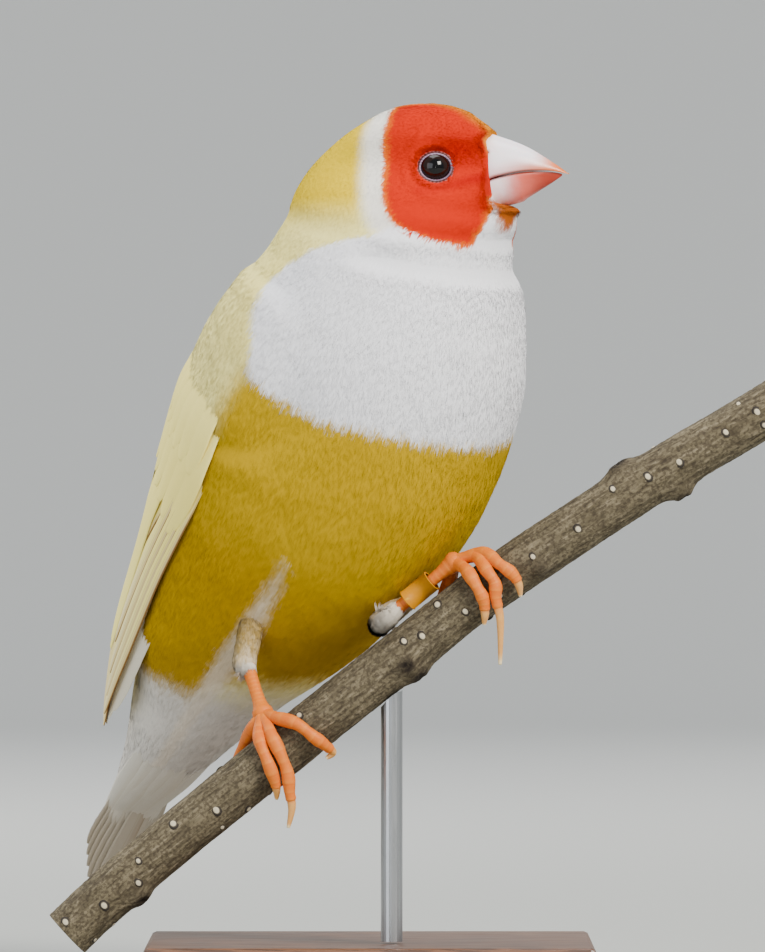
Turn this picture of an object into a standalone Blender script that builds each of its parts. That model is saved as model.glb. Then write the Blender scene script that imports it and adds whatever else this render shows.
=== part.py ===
"""Gouldian finch, a still life-size model on a cut length of branch, held by a plain stand.

The bird stands upright with its body turned part way toward the viewer (-Y) and its head
turned further to the viewer's right (+X).  Metres, +Z up; the origin is the middle of the
underside of the stand's base.
"""

import math

import bmesh
import bpy
from mathutils import Matrix, Vector

MM = 0.001
GAP = 0.3 * MM
OBJECT_NAME = "gouldian_finch"

# Body placement
BODY_HEADING = 45.0
HEAD_HEADING = 12.0
BODY_MIDDLE = Vector((-3.5, -2.0, 0.0)) * MM

# Body sections from the root of the tail to the crown, in millimetres and degrees:
# forward, height, lean of the axis, reach in front, reach behind, half width, heading, taper.
BODY_SECTIONS = [
    (-42.4, 23.0, 54.0, 1.9, 1.5, 5.4, 45.0, 0.00),
    (-34.5, 31.4, 53.0, 5.6, 6.2, 8.2, 45.0, 0.00),
    (-26.2, 42.3, 52.0, 11.0, 11.4, 12.2, 45.0, 0.00),
    (-16.4, 53.5, 53.0, 17.2, 15.4, 17.0, 45.0, 0.00),
    (-7.8, 64.7, 56.0, 21.8, 19.6, 20.6, 45.0, 0.00),
    (-0.8, 75.8, 60.0, 24.2, 21.6, 21.9, 45.0, 0.00),
    (5.1, 86.9, 66.0, 23.6, 20.8, 21.3, 45.0, 0.00),
    (9.1, 96.0, 73.0, 20.2, 18.6, 18.6, 42.0, 0.00),
    (10.6, 102.9, 80.0, 16.4, 16.4, 15.4, 32.0, 0.00),
    (11.6, 107.8, 85.0, 15.6, 15.4, 12.6, 22.0, 0.04),
    (12.4, 112.2, 89.0, 11.4, 13.4, 9.2, 12.0, 0.12),
    (13.6, 116.1, 90.0, 11.0, 10.2, 8.0, 12.0, 0.14),
    (15.2, 118.8, 90.0, 7.8, 7.1, 5.5, 12.0, 0.12),
    (15.8, 120.1, 90.0, 4.6, 4.5, 3.4, 12.0, 0.08),
    (15.8, 120.6, 90.0, 2.0, 2.0, 1.5, 12.0, 0.00),
]
CROWN_HEIGHT = 120.75 * MM
COVERTS_SPAN = (0.0, 0.95)
TORSO_SPAN = (0.98, 7.0)
NECK_SPAN = (7.0, 8.2)
NECK_GAP_MARGIN = 1.6
HEAD_SPAN = (8.2, 14.0)
RING_SIDES = 32

# Wing, from its tip to the shoulder: place along the body's sections, lift off the body in
# millimetres, and its lower and upper edge in degrees round the section (0 breast, 180 spine).
WING_STATIONS = [
    (1.02, 4.9, 115.0, 138.0),
    (1.35, 5.1, 103.0, 156.0),
    (2.00, 4.9, 92.5, 168.0),
    (3.00, 4.1, 88.5, 172.0),
    (4.00, 3.1, 84.5, 172.0),
    (5.00, 2.7, 87.5, 168.0),
    (5.90, 2.3, 93.0, 161.0),
    (6.50, 1.8, 101.0, 149.0),
    (6.85, 1.4, 112.0, 134.0),
]
WING_INNER_DEPTH = 1.9 * MM
WING_CLEARANCE = 0.5 * MM
WING_OUTER_DEPTH = 1.15 * MM
WING_ARM_START = 3.6
WING_ARM_DEPTH = 0.35 * MM
WING_CORE_TIP = 0.8
WING_CORE_ROWS = 14
WING_CORE_COLUMNS = 7
WING_CORE_MARGIN = 0.04
WING_VANE_LAYER = 0.05 * MM
VANE_THICKNESS = 0.62 * MM
VANE_EDGE = 0.34 * MM
VANE_RINGS = 5
VANE_LAST_RING = 0.96
VANE_WIDEST = 0.68
VANE_ROOT_WIDTH = 0.62
VANE_TIP_ROUND = 0.02
VANE_TIP_THINNING = 0.35

# Feather groups of the wing, each laid over the one before: count, root and tip as (station,
# part of the way across), step of each along the row, half width, depth under the surface.
WING_FEATHERS = [
    {"count": 7, "root": (4.2, 0.05), "root_step": (0.08, 0.06), "tip": (0.0, 0.30),
     "tip_step": (0.27, 0.09), "half": 1.9 * MM, "depth": 1.00 * MM},
    {"count": 4, "root": (4.6, 0.42), "root_step": (0.06, 0.10), "tip": (1.75, 0.54),
     "tip_step": (0.16, 0.09), "half": 2.7 * MM, "depth": 0.68 * MM},
    {"count": 3, "root": (5.0, 0.66), "root_step": (0.06, 0.12), "tip": (2.4, 0.70),
     "tip_step": (0.42, 0.10), "half": 3.3 * MM, "depth": 0.38 * MM},
    {"count": 6, "root": (5.9, 0.12), "root_step": (0.02, 0.14), "tip": (4.5, 0.12),
     "tip_step": (0.07, 0.142), "half": 2.6 * MM, "depth": 0.18 * MM},
]

# Bill, measured forward from the front of the face; height of each line above the floor.
BILL_SECTION = 10.0
BILL_BASE_X = 15.8 * MM
BILL_LENGTH = 11.9 * MM
BILL_ROOT = -2.0 * MM
BILL_CULMEN = [(-2.0, 116.9), (2.0, 115.9), (6.0, 114.5), (10.0, 112.2), (11.9, 110.85)]
BILL_MOUTH = [(-2.0, 109.3), (0.5, 109.7), (2.2, 110.4), (5.75, 111.2), (9.2, 111.3), (11.9, 110.8)]
BILL_GONYS = [(-2.0, 105.9), (1.0, 106.2), (5.0, 107.0), (6.2, 107.7), (9.3, 109.6), (10.9, 110.7)]
BILL_UPPER_HALF_WIDTH = 4.1 * MM
BILL_LOWER_HALF_WIDTH = 3.7 * MM
BILL_LOWER_LENGTH = 10.9 * MM
BILL_TAPER = 1.35
BILL_TIP_WIDTH = 0.05
BILL_TIP_DEPTH = 0.25 * MM
BILL_TIP_PLACE = 0.985
BILL_ARCH = 0.85
BILL_ARCH_STEPS = 8
BILL_RINGS = 11
BILL_MOUTH_INSET = 0.04
NOSTRIL_FORWARD = 1.0 * MM
NOSTRIL_HEIGHT = 114.0 * MM
NOSTRIL_RADIUS = 0.5 * MM

# Eyes
EYE_RADIUS = 2.35 * MM
EYE_FORWARD = 5.2 * MM
EYE_HEIGHT = 111.7 * MM
EYE_SINK = 1.75 * MM
EYE_AHEAD = 0.28
EYE_UPWARD = 0.05
EYE_SEGMENTS = 16
EYE_RINGS = 10
LID_PLACE = 1.69 * MM
LID_LENGTH = 2.15 * MM
LID_HEIGHT = 1.75 * MM
LID_THICKNESS = 0.38 * MM

# Tail
TAIL_ROOT = (-36.4, 29.0)
TAIL_TIP = (-50.4, 9.8)
TAIL_PAIRS = 5
TAIL_STEP = 0.085
TAIL_FAN = 2.5
TAIL_FIRST_TURN = 1.0
TAIL_LAYER = 0.36 * MM
TAIL_PAIR_LAYER = 0.12 * MM
TAIL_ROOT_SPREAD = 0.55 * MM
TAIL_VANE_HALF = 2.3 * MM
COVERTS_REACH = 9.0 * MM
COVERTS_END_RINGS = 3

# Branch
PERCH_Y = -13.0 * MM
PERCH_RADIUS = 3.6 * MM
PERCH_POINTS = [
    (-41.7, 6.4),
    (-34.0, 13.5),
    (-18.8, 26.1),
    (-3.6, 38.4),
    (6.1, 46.0),
    (16.5, 54.2),
    (30.8, 63.8),
    (41.2, 70.5),
    (53.0, 77.5),
    (60.6, 82.1),
]
PERCH_SIDES = 14
PERCH_RINGS = 46

# Knots: place along X, turn from the upper side toward the viewer, radius and height.
PERCH_KNOTS = [
    (-33.6, 150.0, 1.5, 0.8),
    (4.6, 160.0, 1.6, 0.5),
    (36.4, 12.0, 1.9, 0.9),
    (41.0, 172.0, 1.5, 1.2),
]

# Legs
SHANK_RADIUS = 0.92 * MM
BALL_RADIUS = 1.45 * MM
ANKLE_HEIGHT = 2.3 * MM
TOE_RADIUS = 0.92 * MM
TOE_RINGS = 13
CLAW_START = 0.74
THIGH_END = 1.35 * MM
THIGH_SECTION = 3.0
THIGH_REACH = 0.55
THIGH_GROWTH = (1.0, 1.3, 1.8, 2.4)

# Leg ring
RING_OUTER = 1.7 * MM
RING_INNER = 1.32 * MM
RING_LENGTH = 4.6 * MM
RING_PLACE = 6.4 * MM

# Stand
BASE_SIZE = Vector((62.0, 58.0, 5.0)) * MM
BASE_EDGE = 0.8 * MM
ROD_RADIUS = 1.5 * MM
ROD_X = 3.0 * MM


def clear_scene():
    for item in list(bpy.data.objects):
        bpy.data.objects.remove(item, do_unlink=True)


def make_material(name, colour, roughness, metallic=0.0):
    made = bpy.data.materials.new(name)
    made.use_nodes = True
    shader = made.node_tree.nodes["Principled BSDF"]
    shader.inputs["Base Color"].default_value = (*colour, 1.0)
    shader.inputs["Roughness"].default_value = roughness
    shader.inputs["Metallic"].default_value = metallic
    return made


def new_object(name, points, faces, material, collection):
    mesh = bpy.data.meshes.new(name)
    mesh.from_pydata([tuple(p) for p in points], [], faces)
    mesh.update()
    mesh.materials.append(material)
    made = bpy.data.objects.new(name, mesh)
    collection.objects.link(made)
    return made


def curve_value(rows, position):
    """Smooth value of the rows (tuples of numbers) at a fractional row index."""
    last = len(rows) - 1
    position = min(max(position, 0.0), float(last))
    low = min(int(position), last - 1)
    part = position - low
    before = rows[max(low - 1, 0)]
    start = rows[low]
    end = rows[low + 1]
    after = rows[min(low + 2, last)]
    values = []
    for a, b, c, d in zip(before, start, end, after):
        bend = 2.0 * b
        slope = (c - a) * part
        curve = (2.0 * a - 5.0 * b + 4.0 * c - d) * part ** 2
        twist = (3.0 * b - a - 3.0 * c + d) * part ** 3
        values.append(0.5 * (bend + slope + curve + twist))
    return values


def line_value(pairs, position):
    """Value on a broken line of (position, value) pairs."""
    for (start, first), (end, second) in zip(pairs, pairs[1:]):
        if position <= end:
            part = max(position - start, 0.0) / (end - start)
            return first + (second - first) * part
    return pairs[-1][1]


def heading_vectors(heading):
    """Forward and rightward unit vectors of a bird that faces this heading."""
    turn = math.radians(heading)
    forward = Vector((math.cos(turn), -math.sin(turn), 0.0))
    right = Vector((-math.sin(turn), -math.cos(turn), 0.0))
    return forward, right


def body_place(forward, height):
    """Point in the body's middle plane, from millimetres forward and up."""
    ahead, _ = heading_vectors(BODY_HEADING)
    return BODY_MIDDLE + ahead * forward * MM + Vector((0.0, 0.0, height * MM))


def body_section(position):
    """Centre, belly direction, right direction and reaches of one body section."""
    forward, height, lean, front, back, half, heading, taper = curve_value(BODY_SECTIONS, position)
    ahead, right = heading_vectors(heading)
    tilt = math.radians(lean)
    belly = ahead * math.sin(tilt) - Vector((0.0, 0.0, math.cos(tilt)))
    centre = body_place(forward, height)
    return centre, belly, right, front * MM, back * MM, half * MM, taper


def body_point(position, angle, lift=0.0):
    """Point on the body; the angle runs from the breast (0) by the right side to the spine."""
    centre, belly, right, front, back, half, taper = body_section(position)
    along = math.cos(angle) * (front if math.cos(angle) > 0.0 else back)
    across = math.sin(angle) * half * (1.0 - taper * math.cos(angle))
    out = belly * along + right * across
    return centre + out + out.normalized() * lift


def ring_faces(rings, sides, start=0):
    """Side faces between rings of points that run the same way round."""
    faces = []
    for ring in range(rings - 1):
        for side in range(sides):
            following = (side + 1) % sides
            low = start + ring * sides
            high = low + sides
            faces.append((low + side, low + following, high + following, high + side))
    return faces


def loft(name, rings, material, collection, first_point=None, last_point=None):
    """Closed body through rings of points, closed at both ends by fans."""
    sides = len(rings[0])
    points = [p for ring in rings for p in ring]
    faces = ring_faces(len(rings), sides)
    first_point = first_point or sum(rings[0], Vector()) / sides
    last_point = last_point or sum(rings[-1], Vector()) / sides
    points.append(first_point)
    points.append(last_point)
    bottom = len(points) - 2
    top = len(points) - 1
    last_start = (len(rings) - 1) * sides
    for side in range(sides):
        following = (side + 1) % sides
        faces.append((bottom, following, side))
        faces.append((top, last_start + side, last_start + following))
    made = new_object(name, points, faces, material, collection)
    face_outwards(made)
    return made


def face_outwards(item):
    work = bmesh.new()
    work.from_mesh(item.data)
    bmesh.ops.recalc_face_normals(work, faces=work.faces)
    if work.calc_volume(signed=True) < 0.0:
        bmesh.ops.reverse_faces(work, faces=work.faces)
    work.to_mesh(item.data)
    work.free()
    item.data.shade_smooth()


def body_rings(low, high, count, lift=0.0):
    step = 2.0 * math.pi / RING_SIDES
    rings = []
    for index in range(count):
        position = low + (high - low) * index / (count - 1)
        rings.append([body_point(position, side * step, lift) for side in range(RING_SIDES)])
    return rings


def tube_rings(path, radii, sides):
    """Rings round a path of points, square to it, turned as little as they can be."""
    rings = []
    side = None
    for index, point in enumerate(path):
        ahead = path[min(index + 1, len(path) - 1)] - path[max(index - 1, 0)]
        ahead.normalize()
        if side is None:
            side = ahead.orthogonal().normalized()
        side = (side - ahead * side.dot(ahead)).normalized()
        other = ahead.cross(side)
        ring = []
        for step in range(sides):
            turn = 2.0 * math.pi * step / sides
            ring.append(point + (side * math.cos(turn) + other * math.sin(turn)) * radii[index])
        rings.append(ring)
    return rings


def tube(name, path, radii, sides, material, collection):
    return loft(name, tube_rings(path, radii, sides), material, collection)


def smooth_path(points, count):
    """Points spaced along one smooth curve through the given points."""
    rows = [tuple(p) for p in points]
    last = len(rows) - 1
    return [Vector(curve_value(rows, last * index / (count - 1))) for index in range(count)]


def apply_modifiers(item):
    """Replace the object's mesh by its evaluated one and drop its modifiers."""
    depsgraph = bpy.context.evaluated_depsgraph_get()
    made = bpy.data.meshes.new_from_object(item.evaluated_get(depsgraph))
    item.modifiers.clear()
    item.data = made


def keep_largest(item):
    """Keep only the largest closed surface of the object's mesh."""
    work = bmesh.new()
    work.from_mesh(item.data)
    bmesh.ops.remove_doubles(work, verts=work.verts, dist=1e-7)
    left = set(work.faces)
    groups = []
    while left:
        seed = left.pop()
        group = [seed]
        stack = [seed]
        while stack:
            face = stack.pop()
            for edge in face.edges:
                for near in edge.link_faces:
                    if near in left:
                        left.remove(near)
                        group.append(near)
                        stack.append(near)
        groups.append(group)
    groups.sort(key=lambda group: sum(face.calc_area() for face in group))
    for group in groups[:-1]:
        bmesh.ops.delete(work, geom=group, context="FACES")
    loose = [v for v in work.verts if not v.link_faces]
    bmesh.ops.delete(work, geom=loose, context="VERTS")
    bmesh.ops.triangulate(work, faces=work.faces)
    work.to_mesh(item.data)
    work.free()
    item.data.shade_smooth()


def fuse(item, pieces, solver="EXACT"):
    """Join closed pieces into the object."""
    if not pieces:
        return
    group = bpy.data.collections.new(item.name + "_pieces")
    bpy.context.scene.collection.children.link(group)
    for piece in pieces:
        for owner in list(piece.users_collection):
            owner.objects.unlink(piece)
        group.objects.link(piece)
    union = item.modifiers.new("union", "BOOLEAN")
    union.operation = "UNION"
    union.operand_type = "COLLECTION"
    union.collection = group
    union.solver = solver
    apply_modifiers(item)
    for piece in pieces:
        bpy.data.objects.remove(piece, do_unlink=True)
    bpy.data.collections.remove(group)
    keep_largest(item)


def carve(item, cutters):
    """Cut the cutters out of the object and remove them."""
    for cutter in cutters:
        cut = item.modifiers.new("cut", "BOOLEAN")
        cut.operation = "DIFFERENCE"
        cut.object = cutter
        apply_modifiers(item)
        bpy.data.objects.remove(cutter, do_unlink=True)
    keep_largest(item)


def grown_copy(item, distance, collection):
    """Copy of a closed object with its surface pushed out, used as a cutter."""
    copy = item.data.copy()
    made = bpy.data.objects.new(item.name + "_cutter", copy)
    made.matrix_world = item.matrix_world
    collection.objects.link(made)
    made.hide_render = True
    made.display_type = "WIRE"
    work = bmesh.new()
    work.from_mesh(copy)
    work.normal_update()
    moved = [(v, v.co + v.normal * distance * v.calc_shell_factor()) for v in work.verts]
    for v, place in moved:
        v.co = place
    work.to_mesh(copy)
    work.free()
    return made


def make_torso(material, collection):
    return loft("torso", body_rings(*TORSO_SPAN, 20), material, collection)


def make_neck(material, collection):
    low = NECK_SPAN[0] + neck_step()
    return loft("neck", body_rings(low, NECK_SPAN[1], 5), material, collection)


def neck_step():
    """Part of a section's span that leaves the gap at the neck, also at the throat, where the
    sections lie closer together than in the middle."""
    here = body_section(NECK_SPAN[0])[0]
    there = body_section(NECK_SPAN[0] + 0.5)[0]
    return 0.5 * NECK_GAP_MARGIN * GAP / (there - here).length


def face_reach(forward, height):
    """Middle of the head at a height, and its reach sideways at a place forward of it."""
    low, high = HEAD_SPAN
    for _ in range(40):
        middle = (low + high) / 2.0
        if body_section(middle)[0].z < height:
            low = middle
        else:
            high = middle
    centre, _, _, front, _, half, taper = body_section(low)
    turn = math.acos(forward / front)
    return centre, half * math.sin(turn) * (1.0 - taper * math.cos(turn))


def eye_centre(side):
    """Centre of an eye; side is 1 for the right eye and -1 for the left."""
    centre, reach = face_reach(EYE_FORWARD, EYE_HEIGHT)
    ahead, right = heading_vectors(HEAD_HEADING)
    return centre + ahead * EYE_FORWARD + right * side * (reach - EYE_SINK)


def eye_outward(side):
    """Direction in which an eye looks, a little forward of straight sideways."""
    ahead, right = heading_vectors(HEAD_HEADING)
    return (right * side + ahead * EYE_AHEAD + Vector((0.0, 0.0, EYE_UPWARD))).normalized()


def make_ball(name, centre, radius, material, collection, segments, rings):
    mesh = bpy.data.meshes.new(name)
    work = bmesh.new()
    bmesh.ops.create_uvsphere(work, u_segments=segments, v_segments=rings, radius=radius)
    work.to_mesh(mesh)
    work.free()
    mesh.transform(Matrix.Translation(centre))
    mesh.materials.append(material)
    mesh.shade_smooth()
    made = bpy.data.objects.new(name, mesh)
    collection.objects.link(made)
    return made


def make_lid(side, material, collection):
    """Rounded rim round the eye, an oval ring that follows the face."""
    out = eye_outward(side)
    centre = eye_centre(side) + out * LID_PLACE
    up = Vector((0.0, 0.0, 1.0))
    along = up.cross(out).normalized()
    up = out.cross(along)
    sides = 18
    profile = 5
    points = []
    faces = []
    for step in range(sides):
        turn = 2.0 * math.pi * step / sides
        ring = along * math.cos(turn) * LID_LENGTH + up * math.sin(turn) * LID_HEIGHT
        outer = ring.normalized()
        for corner in range(profile):
            roll = 2.0 * math.pi * corner / profile
            lift = outer * math.cos(roll) + out * math.sin(roll)
            points.append(centre + ring + lift * LID_THICKNESS)
    for step in range(sides):
        following = (step + 1) % sides
        for corner in range(profile):
            upper = (corner + 1) % profile
            faces.append((step * profile + corner, following * profile + corner,
                          following * profile + upper, step * profile + upper))
    made = new_object("lid", points, faces, material, collection)
    face_outwards(made)
    return made


def bill_point(forward, across, height):
    """Point of the bill, forward of the face, to the bird's right and above the floor."""
    ahead, right = heading_vectors(HEAD_HEADING)
    centre = body_section(BILL_SECTION)[0]
    base = centre + ahead * ((BILL_BASE_X - centre.x) / ahead.x)
    place = base + ahead * forward + right * across
    place.z = height
    return place


def bill_lines(forward, upper):
    """Half width, outline height and mouth height of one half of the bill."""
    length = BILL_LENGTH if upper else BILL_LOWER_LENGTH
    widest = BILL_UPPER_HALF_WIDTH if upper else BILL_LOWER_HALF_WIDTH
    sign = 1.0 if upper else -1.0
    half = widest * max(1.0 - (max(forward, 0.0) / length) ** BILL_TAPER, BILL_TIP_WIDTH)
    mouth = line_value(BILL_MOUTH, forward / MM) * MM + sign * GAP / 2.0
    far = line_value(BILL_CULMEN if upper else BILL_GONYS, forward / MM) * MM
    depth = max((far - mouth) * sign, BILL_TIP_DEPTH)
    return half, mouth + sign * depth, mouth


def make_bill_half(name, upper, material, collection):
    """One half of the bill: rounded above or below, nearly flat along the mouth."""
    length = BILL_LENGTH if upper else BILL_LOWER_LENGTH
    rings = []
    for index in range(BILL_RINGS):
        part = index / (BILL_RINGS - 1)
        forward = BILL_ROOT + (length * BILL_TIP_PLACE - BILL_ROOT) * part
        half, far, mouth = bill_lines(forward, upper)
        ring = []
        for step in range(BILL_ARCH_STEPS + 1):
            turn = math.pi * step / BILL_ARCH_STEPS
            rise = math.sin(turn) ** BILL_ARCH
            ring.append(bill_point(forward, half * math.cos(turn), mouth + (far - mouth) * rise))
        inset = mouth + (far - mouth) * BILL_MOUTH_INSET
        for step in (-0.5, 0.0, 0.5):
            ring.append(bill_point(forward, half * step, inset))
        rings.append(ring)
    _, far, mouth = bill_lines(length, upper)
    return loft(name, rings, material, collection, last_point=bill_point(length, 0.0, mouth))


def nostril_cut(side, material, collection):
    """Ball that leaves a nostril high on the side of the upper half, beside the feathers."""
    half, far, mouth = bill_lines(NOSTRIL_FORWARD, True)
    turn = math.asin(((NOSTRIL_HEIGHT - mouth) / (far - mouth)) ** (1.0 / BILL_ARCH))
    place = bill_point(NOSTRIL_FORWARD, side * half * math.cos(turn), NOSTRIL_HEIGHT)
    return make_ball("nostril", place, NOSTRIL_RADIUS, material, collection, 10, 6)


def make_head(skin, eye, bill, parts, cutters):
    low = HEAD_SPAN[0] + neck_step()
    crown = body_section(HEAD_SPAN[1])[0]
    crown.z = CROWN_HEIGHT
    head = loft("head", body_rings(low, HEAD_SPAN[1], 17), skin, parts, last_point=crown)
    fuse(head, [make_lid(1, skin, cutters), make_lid(-1, skin, cutters)])
    upper = make_bill_half("beak_upper", True, bill, parts)
    lower = make_bill_half("beak_lower", False, bill, parts)
    cuts = []
    for side, name in ((1, "eye_right"), (-1, "eye_left")):
        centre = eye_centre(side)
        make_ball(name, centre, EYE_RADIUS, eye, parts, EYE_SEGMENTS, EYE_RINGS)
        cuts.append(make_ball("socket", centre, EYE_RADIUS + GAP, eye, cutters,
                              EYE_SEGMENTS, EYE_RINGS))
    cuts.append(grown_copy(upper, GAP, cutters))
    cuts.append(grown_copy(lower, GAP, cutters))
    carve(head, cuts)
    carve(upper, [nostril_cut(side, bill, cutters) for side in (1, -1)])


def wing_point(station, part, depth, side):
    """Point of the folded wing: station 0 is the tip, part runs from the lower edge (0) to the
    upper edge (1); side is 1 for the right wing and -1 for the left."""
    position, lift, low, high = curve_value(WING_STATIONS, station)
    angle = math.radians(low + (high - low) * part)
    return body_point(position, side * angle, lift * MM - depth)


def wing_core_depth(station):
    """Depth of the core's outer face: shallow over the arm, deeper under the flight feathers."""
    blend = min(max(station - WING_ARM_START, 0.0), 1.0)
    blend = blend * blend * (3.0 - 2.0 * blend)
    return WING_OUTER_DEPTH + (WING_ARM_DEPTH - WING_OUTER_DEPTH) * blend


def make_wing_core(name, side, material, collection):
    """Shell under the feathers, two sheets of like triangles closed round the rim."""
    rows = WING_CORE_ROWS
    columns = WING_CORE_COLUMNS
    low = WING_CORE_TIP
    high = len(WING_STATIONS) - 1
    outer = []
    inner = []
    for row in range(rows):
        station = low + (high - low) * row / (rows - 1)
        lift = curve_value(WING_STATIONS, station)[1] * MM
        deepest = min(WING_INNER_DEPTH, lift - WING_CLEARANCE)
        for column in range(columns):
            part = WING_CORE_MARGIN + (1.0 - 2.0 * WING_CORE_MARGIN) * column / (columns - 1)
            rim = column in (0, columns - 1) or row in (0, rows - 1)
            top = wing_core_depth(station)
            top = (top + deepest) / 2.0 - VANE_EDGE / 2.0 if rim else top
            bottom = top + VANE_EDGE if rim else deepest
            outer.append(wing_point(station, part, top, side))
            inner.append(wing_point(station, part, bottom, side))
    return sheet_body(name, outer, inner, rows, columns, material, collection)


def sheet_body(name, outer, inner, rows, columns, material, collection):
    """Closed body between two grids of points, split into triangles alike on both faces."""
    faces = []
    back = len(outer)
    for row in range(rows - 1):
        for column in range(columns - 1):
            a = row * columns + column
            b = a + 1
            c = a + columns + 1
            d = a + columns
            faces += [(a, b, c), (a, c, d)]
            faces += [(back + c, back + b, back + a), (back + d, back + c, back + a)]
    border = list(range(columns - 1))
    border += [row * columns + columns - 1 for row in range(rows - 1)]
    border += [(rows - 1) * columns + column for column in range(columns - 1, 0, -1)]
    border += [row * columns for row in range(rows - 1, 0, -1)]
    for start, end in zip(border, border[1:] + border[:1]):
        faces += [(end, start, back + start), (end, back + start, back + end)]
    made = new_object(name, outer + inner, faces, material, collection)
    face_outwards(made)
    return made


def vane_body(name, place, half, material, collection):
    """One feather: place(part, across, rise) gives a point along it (0 to 1), across it and
    above its middle; it is widest past the middle and ends in a rounded point."""
    points = []
    faces = []
    corners = 6
    for ring in range(VANE_RINGS):
        part = ring / (VANE_RINGS - 1) * VANE_LAST_RING
        grow = math.sin(math.pi / 2.0 * min(part / VANE_WIDEST, 1.0))
        width = half * (VANE_ROOT_WIDTH + (1.0 - VANE_ROOT_WIDTH) * grow)
        if part > VANE_WIDEST:
            turn = (part - VANE_WIDEST) / (1.0 + VANE_TIP_ROUND - VANE_WIDEST)
            width *= math.sqrt(1.0 - turn ** 2)
        thick = VANE_THICKNESS * (1.0 - VANE_TIP_THINNING * part) / 2.0
        edge = min(VANE_EDGE / 2.0, thick)
        for across, rise in ((-width, edge), (0.0, thick), (width, edge),
                             (width, -edge), (0.0, -thick), (-width, -edge)):
            points.append(place(part, across, rise))
    for ring in range(VANE_RINGS - 1):
        low = ring * corners
        high = low + corners
        for corner in range(corners):
            following = (corner + 1) % corners
            a, b, c, d = low + corner, low + following, high + following, high + corner
            if corner in (0, 2, 4):
                faces += [(a, b, c), (a, c, d)]
            else:
                faces += [(a, b, d), (b, c, d)]
    points.append(place(1.0, 0.0, 0.0))
    last = (VANE_RINGS - 1) * corners
    for corner in range(corners):
        faces.append((last + corner, last + (corner + 1) % corners, len(points) - 1))
    faces += [(2, 1, 0), (3, 2, 0), (5, 3, 0), (5, 4, 3)]
    made = new_object(name, points, faces, material, collection)
    face_outwards(made)
    return made


def wing_vane(row, order, side, material, collection):
    """One feather of a row of the wing, laid along the wing's surface."""
    root = [start + step * order for start, step in zip(row["root"], row["root_step"])]
    tip = [start + step * order for start, step in zip(row["tip"], row["tip_step"])]
    depth = row["depth"] - WING_VANE_LAYER * (order % 2)

    def place(part, across, rise):
        station = root[0] + (tip[0] - root[0]) * part
        middle = root[1] + (tip[1] - root[1]) * part
        here = wing_point(station, middle - 0.05, depth, side)
        there = wing_point(station, middle + 0.05, depth, side)
        breadth = (there - here).length / 0.1
        return wing_point(station, middle + across / breadth, depth - rise, side)

    return vane_body("vane", place, row["half"], material, collection)


def make_wing(name, side, material, parts, cutters):
    """A folded wing: its core, with the rows of feathers fused on."""
    wing = make_wing_core(name, side, material, parts)
    vanes = []
    for row in WING_FEATHERS:
        for order in range(row["count"]):
            vanes.append(wing_vane(row, order, side, material, cutters))
    fuse(wing, vanes)


def tail_frame():
    start = body_place(*TAIL_ROOT)
    end = body_place(*TAIL_TIP)
    along = (end - start).normalized()
    _, right = heading_vectors(BODY_HEADING)
    return start, end, along, right, right.cross(along)


def make_tail(material, parts, cutters):
    """Coverts at the root, and the tail feathers in pairs: the middle pair longest and on top,
    each further pair shorter, turned further out and one layer lower."""
    start, end, along, right, up = tail_frame()
    length = (end - start).length
    rings = body_rings(COVERTS_SPAN[0], COVERTS_SPAN[1], 4)
    base = rings[0]
    middle = body_section(COVERTS_SPAN[0])[0]
    for step in range(1, COVERTS_END_RINGS + 1):
        part = step / (COVERTS_END_RINGS + 1)
        shrink = 1.0 - part ** 2
        shift = along * COVERTS_REACH * part
        rings.insert(0, [middle + shift + (p - middle) * shrink for p in base])
    coverts = loft("tail", rings, material, parts, first_point=middle + along * COVERTS_REACH)
    vanes = []
    for pair in range(TAIL_PAIRS):
        reach = length * (1.0 - TAIL_STEP * pair)
        for side in (1, -1):
            turn = math.radians(side * (TAIL_FAN * pair + TAIL_FIRST_TURN))
            ahead = along * math.cos(turn) + right * math.sin(turn)
            across = right * math.cos(turn) - along * math.sin(turn)
            layer = TAIL_LAYER * ((TAIL_PAIRS - 1) / 2.0 - pair) + side * TAIL_PAIR_LAYER / 2.0
            root = start + right * side * TAIL_ROOT_SPREAD * (pair + 0.5) + up * layer

            def place(part, offset, rise, root=root, ahead=ahead, across=across, reach=reach):
                return root + ahead * reach * part + across * offset + up * rise

            vanes.append(vane_body("vane", place, TAIL_VANE_HALF, material, cutters))
    fuse(coverts, vanes)


def perch_point(distance):
    """Point on the middle line of the branch at a fraction of its length."""
    last = len(PERCH_POINTS) - 1
    x, z = curve_value(PERCH_POINTS, distance * last)
    return Vector((x * MM, PERCH_Y, z * MM))


def perch_at_x(x):
    low, high = 0.0, 1.0
    for _ in range(40):
        middle = (low + high) / 2.0
        if perch_point(middle).x < x:
            low = middle
        else:
            high = middle
    return low


def perch_frame(where):
    """Middle of the branch at a fraction of its length, with its direction and upper side."""
    ahead = perch_point(min(where + 0.01, 1.0)) - perch_point(max(where - 0.01, 0.0))
    ahead.normalize()
    return perch_point(where), ahead, Vector((-ahead.z, 0.0, ahead.x))


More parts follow.
